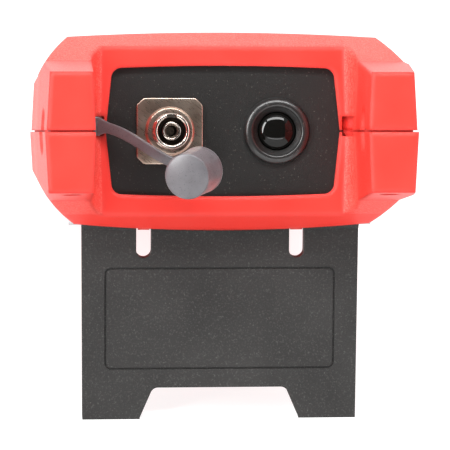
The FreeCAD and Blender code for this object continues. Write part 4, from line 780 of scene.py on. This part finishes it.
MARK_SUNK, MARK_PROUD = 0.02, 0.03    # how far a mark reaches into and out of its key
BAR = [(-2.6, 0), (2.6, 0)]
TRACE = [(3.4, -1.2), (1.6, -0.9), (1.4, -1.9), (1.2, -0.3), (-1.2, 0.2), (-1.4, -0.7),
         (-1.6, 0.9), (-3.4, 1.4)]
KEY_MARKS = {                         # drawn to be read from the foot end
    "key_up": pointer(0, -1), "key_down": pointer(0, 1),
    "key_left": pointer(1, 0), "key_right": pointer(-1, 0),
    "key_enter": stroke(arc(2.6, 0, 360, 36), 0.6),
    "key_power": stroke(arc(1.7, 35, 325, 24), 0.45) + stroke([(0, -2.3), (0, -0.5)], 0.45),
    "key_menu": [q for y in (-1.4, 0.0, 1.4) for q in stroke([(-2.2, y), (2.2, y)], 0.5)],
    "key_back": stroke([(-2.2, 1.2), (-2.2, -0.6), (1.2, -0.6)], 0.5)
                + pointer(1, 0, 1.1, (1.6, -0.6)),
    "key_test": stroke(TRACE, 0.35),
}


def make_marks():
    """Printed marks on the keys, one piece for each key."""
    for name in KEY_NAMES:
        low, high = own_box(name)
        x, y = (low.x + high.x) / 2 / MM, (low.y + high.y) / 2 / MM
        points, faces = [], []
        for shape in KEY_MARKS.get(name, stroke(BAR, 0.5)):
            for z in (high.z / MM - MARK_SUNK, high.z / MM + MARK_PROUD):
                points += [own(x + px, y + py, z) for px, py in shape]
            n = len(shape)
            first = len(points) - 2 * n
            faces += ring_faces(first, first + n, n)
            faces += [tuple(range(first, first + n)), tuple(range(first + n, first + 2 * n))]
        mark = add_piece("mark_" + name, points, faces, PRINT_WHITE)
        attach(mark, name)


make_strap()
make_cap()
make_ring()
make_lens()
make_flange()
make_barrel()
make_marks()


# ---- Stage ---------------------------------------------------------------------------------

FLOOR_HALF = 3.0                      # metres
FLOOR_GREY = (0.32, 0.32, 0.32)
FLOOR_GLOW = 0.8


def make_floor():
    """Plain pale floor under the instrument."""
    mesh = bpy.data.meshes.new("floor")
    corners = [(x * FLOOR_HALF, y * FLOOR_HALF, 0) for x, y in ((-1, -1), (1, -1), (1, 1), (-1, 1))]
    mesh.from_pydata(corners, [], [(0, 1, 2, 3)])
    floor = bpy.data.objects.new("floor", mesh)
    bpy.context.collection.objects.link(floor)
    made = Shader("floor_white", FLOOR_GREY, 0.9, **{
        "Emission Color": (1.0, 1.0, 1.0, 1.0), "Emission Strength": FLOOR_GLOW,
        "Specular IOR Level": 0.05})
    floor.data.materials.append(made.material)


def area_light(name, place, target, size, power):
    """White rectangular light, in metres and watts."""
    data = bpy.data.lights.new(name, "AREA")
    data.shape = "RECTANGLE"
    data.size, data.size_y = size
    data.energy = power
    light = bpy.data.objects.new(name, data)
    light.location = place
    light.rotation_mode = "QUATERNION"
    light.rotation_quaternion = (Vector(target) - Vector(place)).to_track_quat("-Z", "Y")
    bpy.context.collection.objects.link(light)


TENT_OPENING = (-0.08, -0.95, 0.31)   # way from the object to the dark opening of the tent
OPENING_LIGHT = 0.08
TENT_LIGHT = 0.75
BACKDROP_LIGHT = 1.9
TENT_STOPS = ((0.0, BACKDROP_LIGHT), (0.35, BACKDROP_LIGHT), (0.6, TENT_LIGHT),
              (0.79, TENT_LIGHT), (0.88, OPENING_LIGHT))

PORT_END = (0, -0.05, 0.05)
UNDER_PORT = (0, -0.05, 0.02)
LIGHTS = (                            # name, place, target, size, power
    ("key_light", (-0.62, -0.5, 0.42), PORT_END, (0.16, 0.6), 7.5),
    ("top_light", (0.0, -0.36, 0.72), PORT_END, (0.8, 0.16), 6.4),
    ("right_light", (0.65, -0.5, 0.3), PORT_END, (0.35, 0.6), 1.4),
    ("low_light", (0.0, -0.6, 0.012), UNDER_PORT, (0.5, 0.02), 0.25),
)


def make_lights():
    """White tent, dark at its opening and bright behind, with a key light and three fill lights."""
    world = bpy.data.worlds.new("tent")
    world.use_nodes = True
    tree = world.node_tree
    background = tree.nodes["Background"]
    background.inputs["Color"].default_value = (1.0, 1.0, 1.0, 1.0)
    way = tree.nodes.new("ShaderNodeTexCoord")
    toward = tree.nodes.new("ShaderNodeVectorMath")
    toward.operation = "DOT_PRODUCT"
    toward.inputs[1].default_value = TENT_OPENING
    tree.links.new(way.outputs["Generated"], toward.inputs[0])
    steps = tree.nodes.new("ShaderNodeValToRGB")
    steps.color_ramp.interpolation = "EASE"
    for place, light in TENT_STOPS:
        stop = steps.color_ramp.elements.new(place)
        stop.color = (light / 2, light / 2, light / 2, 1.0)
    steps.color_ramp.elements.remove(steps.color_ramp.elements[0])
    steps.color_ramp.elements.remove(steps.color_ramp.elements[-1])
    half = tree.nodes.new("ShaderNodeMath")
    half.operation = "MULTIPLY_ADD"
    half.inputs[1].default_value = 0.5
    half.inputs[2].default_value = 0.5
    tree.links.new(toward.outputs["Value"], half.inputs[0])
    tree.links.new(half.outputs[0], steps.inputs["Fac"])
    double = tree.nodes.new("ShaderNodeMath")
    double.operation = "MULTIPLY"
    double.inputs[1].default_value = 2.0
    tree.links.new(steps.outputs["Color"], double.inputs[0])
    tree.links.new(double.outputs[0], background.inputs["Strength"])
    bpy.context.scene.world = world
    for settings in LIGHTS:
        area_light(*settings)


CAMERA_LENS = 206.8
CAMERA_PLACE = (-47.0, -550, 0)       # the instrument's own millimetres
CAMERA_YAW, CAMERA_PITCH = math.radians(4.7), math.radians(-2.08)


def make_camera():
    """Long lens at the port end, a little to the left of the instrument's axis."""
    data = bpy.data.cameras.new("camera")
    data.sensor_width = 36.0
    data.lens = CAMERA_LENS
    camera = bpy.data.objects.new("camera", data)
    level = math.cos(CAMERA_PITCH)
    way = Vector((math.sin(CAMERA_YAW) * level, math.cos(CAMERA_YAW) * level,
                  math.sin(CAMERA_PITCH)))
    way = (LEAN @ way).normalized()
    side = way.cross(LEAN @ Z_AXIS).normalized()
    turn = Matrix((side, side.cross(way), -way)).transposed()
    camera.location = own(*CAMERA_PLACE)
    camera.rotation_mode = "QUATERNION"
    camera.rotation_quaternion = turn.to_quaternion()
    bpy.context.collection.objects.link(camera)
    bpy.context.scene.camera = camera
    bpy.context.scene.view_settings.view_transform = "Standard"


make_floor()
make_lights()
make_camera()
